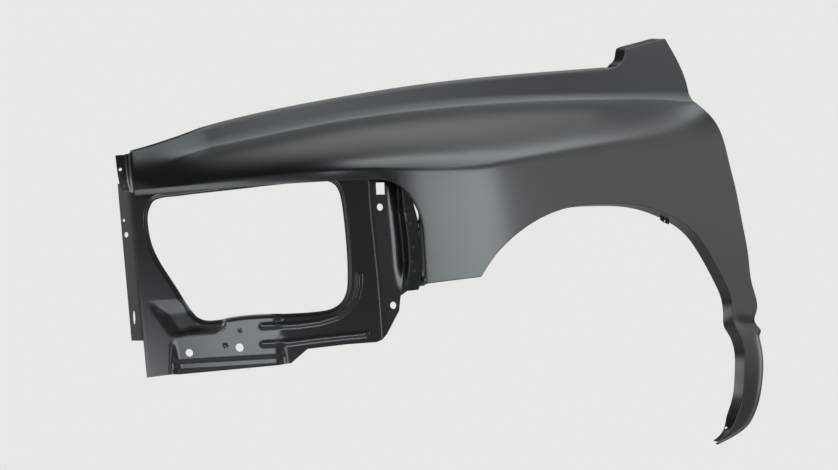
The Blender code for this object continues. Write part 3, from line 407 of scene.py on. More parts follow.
def skin_point(u, w):
    """Point of the outer face at station u and running height w, which is z up the side.

    Up the section come a side that leans in with the square of its height, a cubic crown, a
    quadratic fillet in the valley and a straight hood wall, each level with the next.
    """
    u, w = np.broadcast_arrays(np.asarray(u, float), np.asarray(w, float))
    guide = section(u)
    side_end, top_end, fillet_end, hood_end = section_levels(guide)
    side_h, side_z = guide["side"]
    crown_h, crown_z = guide["crown"]
    valley_h, valley_z = guide["valley"]
    hood_h, hood_z = guide["hood"]
    fillet = (fillet_end - top_end) / 2
    top = np.hypot(valley_h - crown_h, valley_z - crown_z)
    wall = np.hypot(hood_h - valley_h, hood_z - valley_z)
    foot_h = valley_h - fillet * (valley_h - crown_h) / top
    foot_z = valley_z - fillet * (valley_z - crown_z) / top
    rise_h = valley_h + fillet * (hood_h - valley_h) / wall
    rise_z = valley_z + fillet * (hood_z - valley_z) / wall

    t = np.clip((w - side_end) / (top_end - side_end), 0, 1)
    pulls = (1 - t) ** 3, 3 * t * (1 - t) ** 2, 3 * t * t * (1 - t), t ** 3
    top_h = pulls[0] * side_h + pulls[1] * (side_h + SIDE_PULL_SHARE * (crown_h - side_h))
    top_h += pulls[2] * (foot_h - FOOT_PULL_SHARE * (foot_h - crown_h)) + pulls[3] * foot_h
    top_z = pulls[0] * side_z + pulls[1] * (side_z + SIDE_PULL_SHARE * (crown_z - side_z))
    top_z += pulls[2] * (foot_z - FOOT_PULL_SHARE * (foot_z - crown_z)) + pulls[3] * foot_z

    t = np.clip((w - top_end) / (fillet_end - top_end), 0, 1)
    bend_h = foot_h * (1 - t) ** 2 + 2 * valley_h * t * (1 - t) + rise_h * t * t
    bend_z = foot_z * (1 - t) ** 2 + 2 * valley_z * t * (1 - t) + rise_z * t * t
    t = (w - fillet_end) / (hood_end - fillet_end)
    wall_h = rise_h + (hood_h - rise_h) * t
    wall_z = rise_z + (hood_z - rise_z) * t

    tuck = np.maximum(-TUCK_START - w, 0) / (TAIL_DEPTH - TUCK_START)
    low_h = TUMBLE * (np.maximum(w + TUMBLE_FOOT, 0) / TUMBLE_RISE) ** 2 + TAIL_TUCK * tuck ** 2
    back = u - spline(DOOR_POINTS, w)
    pinch = np.exp(-((w + PINCH_LEVEL) / PINCH_WIDTH) ** 2)
    low_h = low_h + PINCH_DEPTH * pinch * smooth((back + 2 * EDGE_ROLL_WIDTH) / EDGE_ROLL_WIDTH)
    rolled = (back + EDGE_ROLL_WIDTH) / EDGE_ROLL_WIDTH * smooth((-PINCH_LEVEL - w) / (2 * PINCH_WIDTH))
    low_h = low_h + EDGE_ROLL * smooth(rolled) ** 2

    parts = [w < side_end, w < top_end, w < fillet_end]
    h = np.select(parts, [low_h, top_h, bend_h], wall_h)
    z = np.select(parts, [w, top_z, bend_z], wall_z)
    under = np.maximum(LIP_HEIGHT + LIP_ROLL_RISE - z, 0) / LIP_ROLL_RISE
    h = h + LIP_ROLL * under ** 2 * smooth((-LAMP_EDGE - LAMP_CORNER_RUN / 2 - u) / LAMP_CORNER_RUN)
    bx, by = guide["belt"]
    wx, wy = guide["way"]
    return np.stack([bx + h * wx, by + h * wy, z], -1)


def face_normal(u, w):
    """Unit normal of the outer face, from small steps along and up it."""
    across = skin_point(u + NORMAL_STEP, w) - skin_point(u - NORMAL_STEP, w)
    up = skin_point(u, w + NORMAL_STEP) - skin_point(u, w - NORMAL_STEP)
    normal = np.cross(across, up)
    return normal / np.linalg.norm(normal, axis=-1)[..., None]


def through(points, count, first=0, last=None):
    """Evenly spaced points on a smooth curve through given points, between two of its knots."""
    points = np.array(points, float)
    steps = np.hypot(*np.diff(points, axis=0).T)
    run = np.concatenate([[0.0], np.cumsum(steps)])
    last = len(points) - 1 if last is None else last
    t = np.linspace(run[first], run[last], count + 1)
    return np.stack([spline(list(zip(run, points[:, 0])), t), spline(list(zip(run, points[:, 1])), t)], -1)


def between(a, b, count):
    """Evenly spaced points on the straight line between two points."""
    t = np.linspace(0, 1, count + 1)[:, None]
    return np.array(a) * (1 - t) + np.array(b) * t


def coons(low, high, left, right):
    """Grid spanning four edge curves: the two straight fills added, less the fill of the corners."""
    s = np.linspace(0, 1, len(low))[:, None, None]
    t = np.linspace(0, 1, len(left))[None, :, None]
    flat = (1 - t) * low[:, None] + t * high[:, None] + (1 - s) * left[None] + s * right[None]
    corner = (1 - s) * (1 - t) * low[0] + s * (1 - t) * low[-1] + (1 - s) * t * high[0] + s * t * high[-1]
    return flat - corner


def respaced(line, count):
    """Evenly spaced points along a dense polyline."""
    run = np.concatenate([[0.0], np.cumsum(np.linalg.norm(np.diff(line, axis=0), axis=1))])
    t = np.linspace(0, run[-1], count + 1)
    return np.stack([np.interp(t, run, column) for column in line.T], -1)


def lamp_arc(start, end, count):
    """Part of the elliptic upper rear corner of the lamp cut-out, between two angles."""
    angle = np.linspace(start, end, count + 1)
    u = -LAMP_EDGE - LAMP_CORNER_RUN + LAMP_CORNER_RUN * np.cos(angle)
    z = LIP_HEIGHT - LAMP_CORNER_RISE + LAMP_CORNER_RISE * np.sin(angle)
    return np.stack([u, z], -1)


def skin_blocks(n):
    """Stations and running heights of the skin's four joined grids, n times finer than the CAD's."""
    upper_arc = lamp_arc(pi / 2, pi / 4, CORNER_COLUMNS * n)
    lower_arc = lamp_arc(pi / 4, 0, CORNER_COLUMNS * FINE_ARC_STEPS * n)
    lamp = respaced(np.concatenate([lower_arc, [[-LAMP_EDGE, -SILL_DEPTH]]]), FRONT_ROWS * n)
    front_top = between(lamp[0], ARCH_POINTS[ARCH_FRONT_KNOT], FRONT_COLUMNS * n)
    arch = through(ARCH_POINTS, ARCH_COLUMNS * n, ARCH_FRONT_KNOT, ARCH_REAR_KNOT)
    door_level = arch[-1][1] * DOOR_LEVEL_SHARE
    door = (spline(DOOR_POINTS, door_level), door_level)
    rear = between(arch[-1], door, REAR_COLUMNS * n)
    lip = between((-NOSE_RUN, LIP_HEIGHT), upper_arc[0], (NOSE_COLUMNS - CORNER_COLUMNS) * n)
    low = np.concatenate([lip, upper_arc[1:], front_top[1:], arch[1:], rear[1:]])
    first_rear = len(low) - 1 - REAR_COLUMNS * n
    tip = first_rear + TIP_START * n

    spans = [np.linspace(ROW_MARKS[k], ROW_MARKS[k + 1], rows * n + 1)[1:]
             for k, rows in enumerate(ROW_COUNTS)]
    shares = np.concatenate([[0.0], *spans])
    top_u = np.interp(low[:, 0], (-NOSE_RUN, arch[-1][0]), (-NOSE_RUN, arch[-1][0] - REAR_LEAN))
    top_u[first_rear:tip + 1] = np.linspace(top_u[first_rear], COWL_NOTCH, TIP_START * n + 1)
    door_top = COWL_NOTCH
    for _ in range(SETTLE_ROUNDS):
        door_top = float(spline(DOOR_POINTS, section_levels(section(np.array(door_top)))[3]))
    top_u[tip:] = np.linspace(COWL_NOTCH, door_top, (REAR_COLUMNS - TIP_START) * n + 1)

    def level(u, low_w):
        """Running heights of the rows at their stations, up from the height of the lower edge."""
        knots = [low_w + 0 * u, *section_levels(section(u))]
        w = np.zeros_like(u)
        for k in range(len(ROW_COUNTS)):
            here = (shares >= ROW_MARKS[k]) & (shares <= ROW_MARKS[k + 1])
            f = (shares - ROW_MARKS[k]) / (ROW_MARKS[k + 1] - ROW_MARKS[k])
            w = np.where(here, knots[k] + (knots[k + 1] - knots[k]) * f, w)
        return w

    u = low[:, :1] + (top_u - low[:, 0])[:, None] * shares[None]
    straight = u[-1].copy()
    door_u = straight.copy()
    for _ in range(SETTLE_ROUNDS):
        door_u = spline(DOOR_POINTS, level(door_u, door_level))
    pull = ((low[:, 0] + NOSE_RUN) / (low[-1, 0] + NOSE_RUN))[:, None] ** 4
    u = u + pull * (door_u - straight)[None]
    body = np.stack([u, level(u, low[:, 1:2])], -1)

    start = NOSE_COLUMNS * n
    front = coons(between((-LAMP_EDGE, -SILL_DEPTH), ARCH_POINTS[0], FRONT_COLUMNS * n),
                  body[start:start + FRONT_COLUMNS * n + 1, 0], lamp[::-1],
                  through(ARCH_POINTS, FRONT_ROWS * n, 0, ARCH_FRONT_KNOT))
    tail_in = through(ARCH_POINTS, TAIL_ROWS * n, ARCH_REAR_KNOT)
    tail_w = np.linspace(door_level, DOOR_POINTS[0][0], TAIL_ROWS * FINE_TAIL_STEPS * n + 1)
    tail_out = respaced(np.stack([spline(DOOR_POINTS, tail_w), tail_w], -1), TAIL_ROWS * n)
    tail_tip = between(tail_in[-1], tail_out[-1], REAR_COLUMNS * n)
    tail = coons(body[first_rear:, 0], tail_tip, tail_in, tail_out)

    door_w = body[-1, -1, 1]
    mouth = np.array(MOUTH_SHARES) * (COWL_MOUTH, COWL_RISE) + (COWL_NOTCH, body[tip, -1, 1])
    tip_w = np.linspace(door_w, door_w + COWL_RISE, TIP_ROWS * n + 1)
    door_line = np.stack([spline(DOOR_POINTS, tip_w), tip_w], -1)
    crest = between(mouth[-1], door_line[-1], (REAR_COLUMNS - TIP_START) * n)
    cowl = coons(body[tip:, -1], crest, through(mouth, TIP_ROWS * n), door_line)
    return body, front, tail, cowl, first_rear, tip


def rail_pad():
    """Middle of the rail pad in the vehicle's frame.

    It is the mean of the hood flange's last two bends over the pad's columns of the CAD grid, at the mean
    height of the first of the two, to which the pad is levelled.
    """
    body = skin_blocks(1)[0]
    u, w = body[PAD_START:PAD_START + PAD_COLUMNS + 1, -1][::-1].T
    edge = skin_point(u, w)
    normal = face_normal(u, w)
    outward = np.cross(np.gradient(edge, axis=0), normal)
    outward /= np.linalg.norm(outward, axis=1)[:, None]
    bends = np.stack([edge + out * outward - inward * normal for out, inward in HOOD_TURN[1:]])[:, 1:-1]
    return np.array((*bends[..., :2].mean(axis=(0, 1)), bends[0, :, 2].mean()))


RAIL_PAD = rail_pad()


def bend_profile(turns, steps):
    """Finer bends of a turned edge: a cubic turn off the face into its first bend, then rounded corners.

    The first span starts along the face and ends along the flange; the later corners are cut by a
    quadratic curve that starts and ends a third of the way along the spans beside it.
    """
    knots = [np.zeros_like(turns[:, :1]), *np.split(turns, 3, axis=1)]
    a, b, c, d = (k[:, 0] for k in knots)
    reach = np.linalg.norm(b, axis=1)[:, None]
    way = (c - b) / np.linalg.norm(c - b, axis=1)[:, None]
    away = np.zeros_like(a)
    away[:, 0] = 1.0
    rows = []
    for t in np.linspace(0, 1, steps + 1)[1:]:
        pull = BEND_PULL_SHARE * reach
        rows.append((1 - t) ** 3 * a + 3 * t * (1 - t) ** 2 * (a + pull * away)
                    + 3 * t * t * (1 - t) * (b - pull * way) + t ** 3 * b)
    start = c + (b - c) / 3
    end = c + (d - c) / 3
    rows.append(b + (start - b) / 2)
    for t in (0.0, 0.25, 0.5, 0.75, 1.0):
        rows.append((1 - t) ** 2 * start + 2 * t * (1 - t) * c + t * t * end)
    rows.append((end + d) / 2)
    rows.append(d)
    return np.stack(rows, 1)


def blended_turns(sides, levels, n):
    """Bends at each point of a run of edges: a tent-weighted mean, drawn in towards the tail's tip."""
    turns = np.concatenate([np.repeat([turn], len(side), 0) for side, turn in sides])
    held = np.concatenate([np.repeat(turns[:1], n, 0), turns, np.repeat(turns[-1:], n, 0)])
    weights = np.concatenate([np.arange(1, n + 1), np.arange(n + 1, 0, -1)]).astype(float)
    weights /= weights.sum()
    mean = sum(weight * held[k:k + len(turns)] for k, weight in enumerate(weights))
    away = np.abs(levels + TAIL_DEPTH) / TIP_TAPER
    return mean * (TIP_TURN_SHARE + (1 - TIP_TURN_SHARE) * smooth(away))[:, None, None]


def quad_faces(index, flip=False):
    """Quads between neighbouring rows and columns of a grid of vertex numbers, flipped or not."""
    a, b = index[:-1, :-1].ravel(), index[:-1, 1:].ravel()
    c, d = index[1:, 1:].ravel(), index[1:, :-1].ravel()
    return np.stack([a, d, c, b] if flip else [a, b, c, d], -1)


def skin_sheet(n, steps):
    """Vertices and faces of the skin's outer face with its turned edges.

    Four joined grids carry the face; strips along their edges follow the bends of each turned edge.
    """
    body, front, tail, cowl, first_rear, tip = skin_blocks(n)
    places = []
    count = 0

    def add(grid):
        """Keeps a grid's places and numbers its points."""
        nonlocal count
        places.append(grid.reshape(-1, 2))
        index = count + np.arange(grid[..., 0].size).reshape(grid.shape[:2])
        count += index.size
        return index

    i_body = add(body)
    front_cols = slice(NOSE_COLUMNS * n, (NOSE_COLUMNS + FRONT_COLUMNS) * n + 1)
    i_front = np.concatenate([add(front[:, :-1]), i_body[front_cols, 0][:, None]], 1)
    i_tail = np.concatenate([i_body[first_rear:, 0][:, None], add(tail[:, 1:])], 1)
    i_cowl = np.concatenate([i_body[tip:, -1][:, None], add(cowl[:, 1:])], 1)
    faces = [quad_faces(index, flip=True) for index in (i_body, i_front, i_tail[:, ::-1], i_cowl)]

    corner = (NOSE_COLUMNS - CORNER_COLUMNS) * n
    front_edge = i_front[0, ::-1]
    below = (
        (i_body[:corner, 0], LIP_TURN), (i_body[corner:NOSE_COLUMNS * n, 0], LAMP_TURN),
        (front_edge[:SMALL_COLUMNS * n], LAMP_TURN), (front_edge[SMALL_COLUMNS * n:-1], WELD_TURN),
        (i_front[:-1, 0], ARCH_TURN), (i_front[-1, :-1], ARCH_TURN),
        (i_body[front_cols.stop - 1:first_rear, 0], ARCH_TURN), (i_tail[0], ARCH_TURN),
    )
    above = (
        (i_tail[-1, ::-1][:-1], DOOR_TURN), (i_body[-1, :-1], DOOR_TURN), (i_cowl[-1, :-1], DOOR_TURN),
        (i_cowl[::-1, -1][:-1], COWL_TURN), (i_cowl[0, ::-1][:-1], COWL_TURN),
        (i_body[:tip + 1, -1][::-1], HOOD_TURN),
    )
    ahead = ((i_body[0, ::-1][:-NOSE_NOTCH_ROWS * n], NOSE_STEPS),)
    uw = np.concatenate(places)
    points = skin_point(uw[:, 0], uw[:, 1])
    normals = face_normal(uw[:, 0], uw[:, 1])
    pad_line = i_body[PAD_START * n:(PAD_START + PAD_COLUMNS) * n + 1, -1]
    pad_pull = np.zeros(len(uw))
    pad_pull[pad_line] = np.clip(2 - np.abs(np.linspace(-2, 2, len(pad_line))), 0, 1)
    for sides in (below, above, ahead):
        run = np.concatenate([side for side, _ in sides])
        if sides is ahead:
            profile = np.repeat([NOSE_STEPS], len(run), 0)
        else:
            profile = bend_profile(blended_turns(sides, uw[run, 1], n), steps)
        edge = points[run]
        outward = np.cross(np.gradient(edge, axis=0), normals[run])
        outward /= np.linalg.norm(outward, axis=1)[:, None]
        strip = edge[:, None] + profile[..., :1] * outward[:, None]
        strip -= profile[..., 1:] * normals[run][:, None]
        if sides is above:
            flat = smooth((np.arange(profile.shape[1]) - steps) / PAD_FADE_STEPS)
            strip[..., 2] += pad_pull[run][:, None] * flat * (RAIL_PAD[2] - strip[..., 2])
        index = count + np.arange(strip[..., 0].size).reshape(strip.shape[:2])
        count += index.size
        points = np.concatenate([points, strip.reshape(-1, 3)])
        faces.append(quad_faces(np.concatenate([run[:, None], index], 1)))
    return points - RAIL_PAD, np.concatenate(faces)


def table(shares, t):
    """Straight-line reading of a share table."""
    xs, ys = np.array(shares).T
    return np.interp(t, xs, ys)


def line_distance(points, line):
    """Distance of each point from a polyline."""
    best = np.full(len(points), np.inf)
    for start, end in zip(line[:-1], line[1:]):
        way = end - start
        t = np.clip((points - start) @ way / (way @ way), 0, 1)
        best = np.minimum(best, np.linalg.norm(points - start - t[:, None] * way, axis=1))
    return best


def past(t, start, run):
    """0 up to start and 1 from a run beyond it, smooth between."""
    return smooth((t - start) / run)


def before(t, end, run):
    """1 until a run short of end and 0 from end on, smooth between."""
    return smooth((end - t) / run)


def fold_depth(places):
    """Depth of the panel's folds, steps and funnel behind its plane, before their corners are rounded."""
    a, b = places.T / PANEL_RUN
    nose_fold = table(NOSE_FOLD_SHARES, b)
    side_fold = table(SIDE_FOLD_SHARES, b)
    brow = table(BROW_SHARES, b)
    trough = table(TROUGH_SHARES, b)
    crest = table(CREST_SHARES, b)
    weld = table(WELD_DEPTH_SHARES, b)
    brow_depth = FOLD_SLOPE * (brow - side_fold)
    hollow = TROUGH_DEPTH / PANEL_RUN * past(b, TROUGH_SHARES[1][0], TROUGH_FADE_SHARE)
    deepest = np.maximum(brow_depth, weld) + hollow
    depth = FLANGE_SLOPE * np.maximum(nose_fold - a, 0)
    depth += brow_depth * np.clip((a - side_fold) / (brow - side_fold), 0, 1)
    depth += (deepest - brow_depth) * np.clip((a - brow) / (trough - brow), 0, 1)
    depth += (weld - deepest) * np.clip((a - trough) / (crest - trough), 0, 1)

    top = table(PLATE_TOP_SHARES, a)
    across = past(a, *PLATE_START_SHARES) * before(a, *PLATE_END_SHARES)
    plate = across * before(b, top + PLATE_BRIM_SHARE, PLATE_FADE_SHARE)
    steps = sum(before(b, level, STEP_FADE_SHARE) for level in PLATE_STEP_SHARES)
    depth += plate * (PLATE_TILT * (PLATE_LEVEL_SHARE - b) + PLATE_STEP / PANEL_RUN * steps)
    slant = a + FUNNEL_START_SHARE + (b + FUNNEL_PIVOT_SHARE) * FUNNEL_SLANT
    funnel = smooth(slant / FUNNEL_FADE_SHARE) * past(b, top, PLATE_FADE_SHARE)
    funnel *= before(a, *FUNNEL_END_SHARES)
    depth += FUNNEL_DEPTH / PANEL_RUN * funnel * before(b, *FUNNEL_TOP_SHARES)
    return depth * PANEL_RUN


def panel_depth(places, bend):
    """Depth of the panel's front face: the folds averaged over a bend's width, beads and opening rim."""
    depth = np.zeros(len(places))
    offsets = np.linspace(-1, 1, BEND_SAMPLES)
    weights = 1 - BEND_FALL_SHARE * np.abs(offsets)
    for offset, weight in zip(offsets, weights / weights.sum()):
        depth += weight * fold_depth(places + (offset * bend, 0))
    for shares in (UPPER_BEAD_SHARES, LOWER_BEAD_SHARES):
        off = line_distance(places, np.array(shares) * PANEL_RUN) / BEAD_HALF
        depth -= BEAD_HEIGHT * np.maximum(1 - off ** 2, 0) ** 2
    for (a, b), reach, rise in PANEL_MARKS:
        off = np.linalg.norm(places - (a, b), axis=1) / reach
        depth -= rise * np.maximum(1 - off ** 2, 0) ** 2
    edge = line_distance(places, through(OPENING_SHARES, OPENING_POINTS) * PANEL_RUN)
    return depth + RIM_DEPTH * (1 - smooth((edge - RIM_FLAT) / (RIM_WIDTH - RIM_FLAT)))


def panel_place(places, depth):
    """Points in space of panel places (a outboard, b up) at a depth behind the panel's plane."""
    a, b = places.T
    x = PANEL_X + a * cos(PANEL_HEADING) + depth * sin(PANEL_HEADING)
    y = PANEL_Y - a * sin(PANEL_HEADING) + depth * cos(PANEL_HEADING)
    return np.stack([x, y, b], -1) - RAIL_PAD


def hole_loop(hole, count):
    """Outline of a hole: an ellipse, or a rectangle where its sides are straight."""
    a, b, half_a, half_b, straight = hole
    angle = np.arange(count) * 2 * pi / count
    loop = np.stack([np.cos(angle), np.sin(angle)], -1)
    if straight:
        loop /= np.abs(loop).max(axis=1)[:, None]
    return (loop * (half_a, half_b) + (a, b)) * PANEL_RUN


def inside(points, loop):
    """Whether each point lies inside a closed outline, by the crossings of a level ray."""
    x, y = points.T
    hit = np.zeros(len(points), bool)
    for (x0, y0), (x1, y1) in zip(loop, np.roll(loop, -1, 0)):
        if y0 != y1:
            hit ^= ((y0 > y) != (y1 > y)) & (x < (x1 - x0) * (y - y0) / (y1 - y0) + x0)
    return hit


def split_line(line, longest):
    """A polyline with its long runs cut into equal steps."""
    parts = []
    for start, end in zip(line[:-1], line[1:]):
        count = max(int(np.ceil(np.linalg.norm(end - start) / longest)), 1)
        parts.append(between(start, end, count)[:-1])
    return np.concatenate(parts + [line[-1:]])


def panel_sheet(cell, bend):
    """Vertices and triangles of the panel's front face, an even mesh between its outlines."""
    outline = np.array(PANEL_SHARES) * PANEL_RUN
    loops = [split_line(np.concatenate([outline, outline[:1]]), cell)[:-1]]
    loops.append((through(OPENING_SHARES, OPENING_POINTS) * PANEL_RUN)[:-1])
    loops.extend(hole_loop(hole, HOLE_POINTS) for hole in PANEL_HOLE_SHARES)
    points = []
    edges = []
    for loop in loops:
        base = len(points)
        points.extend(loop)
        edges.extend((base + i, base + (i + 1) % len(loop)) for i in range(len(loop)))
    low = loops[0].min(axis=0)
    span = loops[0].max(axis=0) - low
    rise = cell * cos(pi / 6)
    c, r = np.meshgrid(np.arange(int(span[0] / cell) + 2), np.arange(int(span[1] / rise) + 2))
    grid = np.stack([(c + (r % 2) / 2) * cell, r * rise], -1).reshape(-1, 2) + low
    clear = inside(grid, loops[0])
    for loop in loops:
        clear &= line_distance(grid, np.concatenate([loop, loop[:1]])) > cell / 2
    for loop in loops[1:]:
        clear &= ~inside(grid, loop)
    points.extend(grid[clear])
    places, _, faces, *_ = delaunay_2d_cdt([Vector(p) for p in points], edges, [], 0, cell / 1000)
    places = np.array([tuple(p) for p in places])
    faces = np.array(faces)
    middle = places[faces].mean(axis=1)
    keep = inside(middle, loops[0])
    for loop in loops[1:]:
        keep &= ~inside(middle, loop)
    used, faces = np.unique(faces[keep], return_inverse=True)
    places = places[used]
    return panel_place(places, panel_depth(places, bend)), faces.reshape(-1, 3), places


def bracket_sheet(sheet, count):
    """Vertices and faces of the cowl bracket: a base on the skin with an ear turned in at each side."""
    base = sheet + FIT_GAP
    profile = ((BRACKET_LOW, BRACKET_LONG_EAR), (BRACKET_LOW, base),
               (BRACKET_HIGH, base), (BRACKET_HIGH, BRACKET_EAR))
    u = np.linspace(BRACKET_START, BRACKET_END, count)
    rows = []
    for w, inward in profile:
        level = np.full_like(u, w)
        rows.append(skin_point(u, level) - inward * face_normal(u, level))
    index = np.arange(len(profile) * count).reshape(len(profile), count)
    return np.concatenate(rows) - RAIL_PAD, quad_faces(index)


def weld_share(places):
    """Share of burnt primer on the panel: full inside each spot weld, fading over half its reach."""
    off = np.stack([np.linalg.norm(places - weld, axis=1) for weld in PANEL_WELDS]).min(axis=0)
    return smooth(2 * (1 - off / WELD_REACH))


def clip_tab(count):
    """A small ear on the arch's turned edge, parallel to the face.

    A ring between its hole and its outline, a block whose shares' fourth powers sum to one.
    """
    u, w = CLIP_PLACE
    centre = skin_point(u, w)
    normal = face_normal(u, w)
    line = through(ARCH_POINTS, ARCH_STEPS)
    near = int(np.argmin(np.hypot(line[:, 0] - u, line[:, 1] - w)))
    ends = skin_point(line[[near - 1, near + 1], 0], line[[near - 1, near + 1], 1])
    along = (ends[1] - ends[0]) / np.linalg.norm(ends[1] - ends[0])
    outward = np.cross(along, normal)
    angle = np.arange(count) * 2 * pi / count
    ring = np.stack([np.cos(angle), np.sin(angle)], -1)
    block = ring / (np.abs(ring) ** 4).sum(axis=1)[:, None] ** 0.25
    middle = np.array((0.0, CLIP_DEPTH / 2))
    flat = np.concatenate([block * (CLIP_HALF, CLIP_DEPTH / 2) + middle, ring * CLIP_HOLE + middle])
    points = centre - CLIP_INWARD * normal + flat[:, :1] * along + flat[:, 1:] * outward
    k = np.arange(count)
    after = (k + 1) % count
    return points - RAIL_PAD, np.stack([k, after, after + count, k + count], -1)


def new_mesh(name, points, faces):
    """A smooth mesh object in the scene whose open edges are sharp."""
    mesh = bpy.data.meshes.new(name)
    mesh.from_pydata(points.tolist(), [], faces.tolist())
    mesh.shade_smooth()
    edge_of = np.zeros(len(mesh.loops), int)
    mesh.loops.foreach_get("edge_index", edge_of)
    single = np.bincount(edge_of, minlength=len(mesh.edges)) == 1
    sharp = mesh.attributes.new("sharp_edge", "BOOLEAN", "EDGE")
    sharp.data.foreach_set("value", single)
    obj = bpy.data.objects.new(name, mesh)
    bpy.context.scene.collection.objects.link(obj)
    return obj


def sheet_metal(obj, thickness):
    """Gives a face its sheet thickness on the inner side."""
    wall = obj.modifiers.new("Sheet", "SOLIDIFY")
    wall.thickness = thickness
    wall.offset = -1
    wall.use_quality_normals = True


def even_shading(obj):
    """Shades bends by their large faces, so that flats stay flat up to a fold."""
    weigh = obj.modifiers.new("Shading", "WEIGHTED_NORMAL")
    weigh.mode = "FACE_AREA_WITH_ANGLE"
    weigh.keep_sharp = True


def cutters(name, holes):
    """One hidden object with a round cutter through each hole."""
    angle = np.arange(CUTTER_SIDES) * 2 * pi / CUTTER_SIDES
    ring = np.stack([np.cos(angle), np.sin(angle)], -1)
    points = []
    faces = []
    for centre, axis, radius in holes:
        turn = np.array(Vector(axis).to_track_quat("Z", "Y").to_matrix())
        base = len(points)
        for side in (-0.5, 0.5):
            local = np.concatenate([ring * radius, np.full((CUTTER_SIDES, 1), side * CUTTER_DEPTH)], 1)
            points.extend(local @ turn.T + centre)
        low = list(range(base, base + CUTTER_SIDES))
        high = [i + CUTTER_SIDES for i in low]
        faces.append(low[::-1])
        faces.append(high)
        faces.extend(zip(low, low[1:] + low[:1], high[1:] + high[:1], high))
    mesh = bpy.data.meshes.new(name)
    mesh.from_pydata([tuple(p) for p in points], [], faces)
    obj = bpy.data.objects.new(name, mesh)
    obj.hide_render = True
    obj.display_type = "WIRE"
    bpy.context.scene.collection.objects.link(obj)
    return obj


class Graph:
    """The emptied node tree of a material or world, with one way to make its nodes."""

    def __init__(self, owner):
        self.owner = owner
        owner.use_nodes = True
        self.tree = owner.node_tree
        self.tree.nodes.clear()

    def node(self, kind, settings=(), values=()):
        """Makes a node, gives it its settings, then its values and links; returns it."""
        made = self.tree.nodes.new(kind)
        for key, value in dict(settings).items():
            setattr(made, key, value)
        for key, value in dict(values).items():
            if isinstance(value, Value):
                self.tree.links.new(value.socket, made.inputs[key])
            else:
                made.inputs[key].default_value = value
        return made

    def value(self, kind, output, settings=(), values=()):
        """Makes a node and returns one of its outputs as a Value."""
        return Value(self, self.node(kind, settings, values).outputs[output])


class Value:
    """An output of a node, so that sums and products of values read as formulas."""

    def __init__(self, graph, socket):
        self.graph = graph
        self.socket = socket

    def math(self, operation, first, second):
        """A Math node on two values, numbers or both."""
        return self.graph.value("ShaderNodeMath", 0, {"operation": operation}, {0: first, 1: second})

    def __add__(self, other):
        return self.math("ADD", self, other)

    def __radd__(self, other):
        return self.math("ADD", other, self)

    def __sub__(self, other):
        return self.math("SUBTRACT", self, other)

    def __rsub__(self, other):
        return self.math("SUBTRACT", other, self)

    def __mul__(self, other):
        return self.math("MULTIPLY", self, other)

    def __rmul__(self, other):
        return self.math("MULTIPLY", other, self)

    def step(self, low, high):
        """0 below low and 1 above high, smooth between."""
        return self.graph.value("ShaderNodeMapRange", "Result", {"interpolation_type": "SMOOTHSTEP"},
                                {"Value": self, "From Min": low, "From Max": high})

    def blend(self, first, second):
        """Colour between first and second by this value."""
        return self.graph.value("ShaderNodeMix", 2, {"data_type": "RGBA"}, {0: self, 6: first, 7: second})


def rgb(colour):
    """A colour with the fourth number that a colour socket takes."""
    return (*colour, 1.0)


def primer(name, look, base, roughness):
    """Satin primer: a slowly drifting roughness, faint orange peel and burnt spots at the welds."""
    graph = Graph(bpy.data.materials.new(name))
    place = graph.value("ShaderNodeTexCoord", "Object")
    broad = graph.value("ShaderNodeTexNoise", "Fac", (), {
        "Vector": place, "Scale": DRIFT_SCALE, "Detail": 0.0})
    peel = graph.value("ShaderNodeTexNoise", "Fac", (), {
        "Vector": place, "Scale": PEEL_SCALE, "Detail": PEEL_DETAIL})
    burnt = graph.value("ShaderNodeAttribute", "Fac", {"attribute_name": "weld"})
    colour = burnt.blend(rgb(base), rgb(look.weld_colour))
    rough = roughness + (broad - 0.5) * look.drift + burnt * look.weld_roughening
    bump = graph.value("ShaderNodeBump", "Normal", (), {
        "Strength": look.peel, "Distance": look.peel_height, "Height": peel})
    shader = graph.value("ShaderNodeBsdfPrincipled", "BSDF", (), {
        "Base Color": colour, "Roughness": rough, "IOR": look.ior, "Normal": bump})
    graph.node("ShaderNodeOutputMaterial", (), {"Surface": shader})
    return graph.owner


class FenderSheetSettings(PropertyGroup):
    thickness: FloatProperty(
        name="Sheet thickness", description="Thickness of the pressed steel sheet",
        default=0.001, unit="LENGTH")
    fineness: IntProperty(
        name="Fineness", description="Skin grid steps for each step of the CAD grid", default=4)
    bend_steps: IntProperty(
        name="Bend steps", description="Steps round the first bend of a turned edge", default=4)
    panel_cell: FloatProperty(
        name="Panel cell", description="Mesh size of the headlamp panel", default=0.0024, unit="LENGTH")
    panel_bend: FloatProperty(
        name="Panel bend", description="Half width over which the panel's folds are rounded",
        default=0.0045, unit="LENGTH")
    bracket_columns: IntProperty(
        name="Bracket columns", description="Mesh columns of the cowl bracket", default=12)


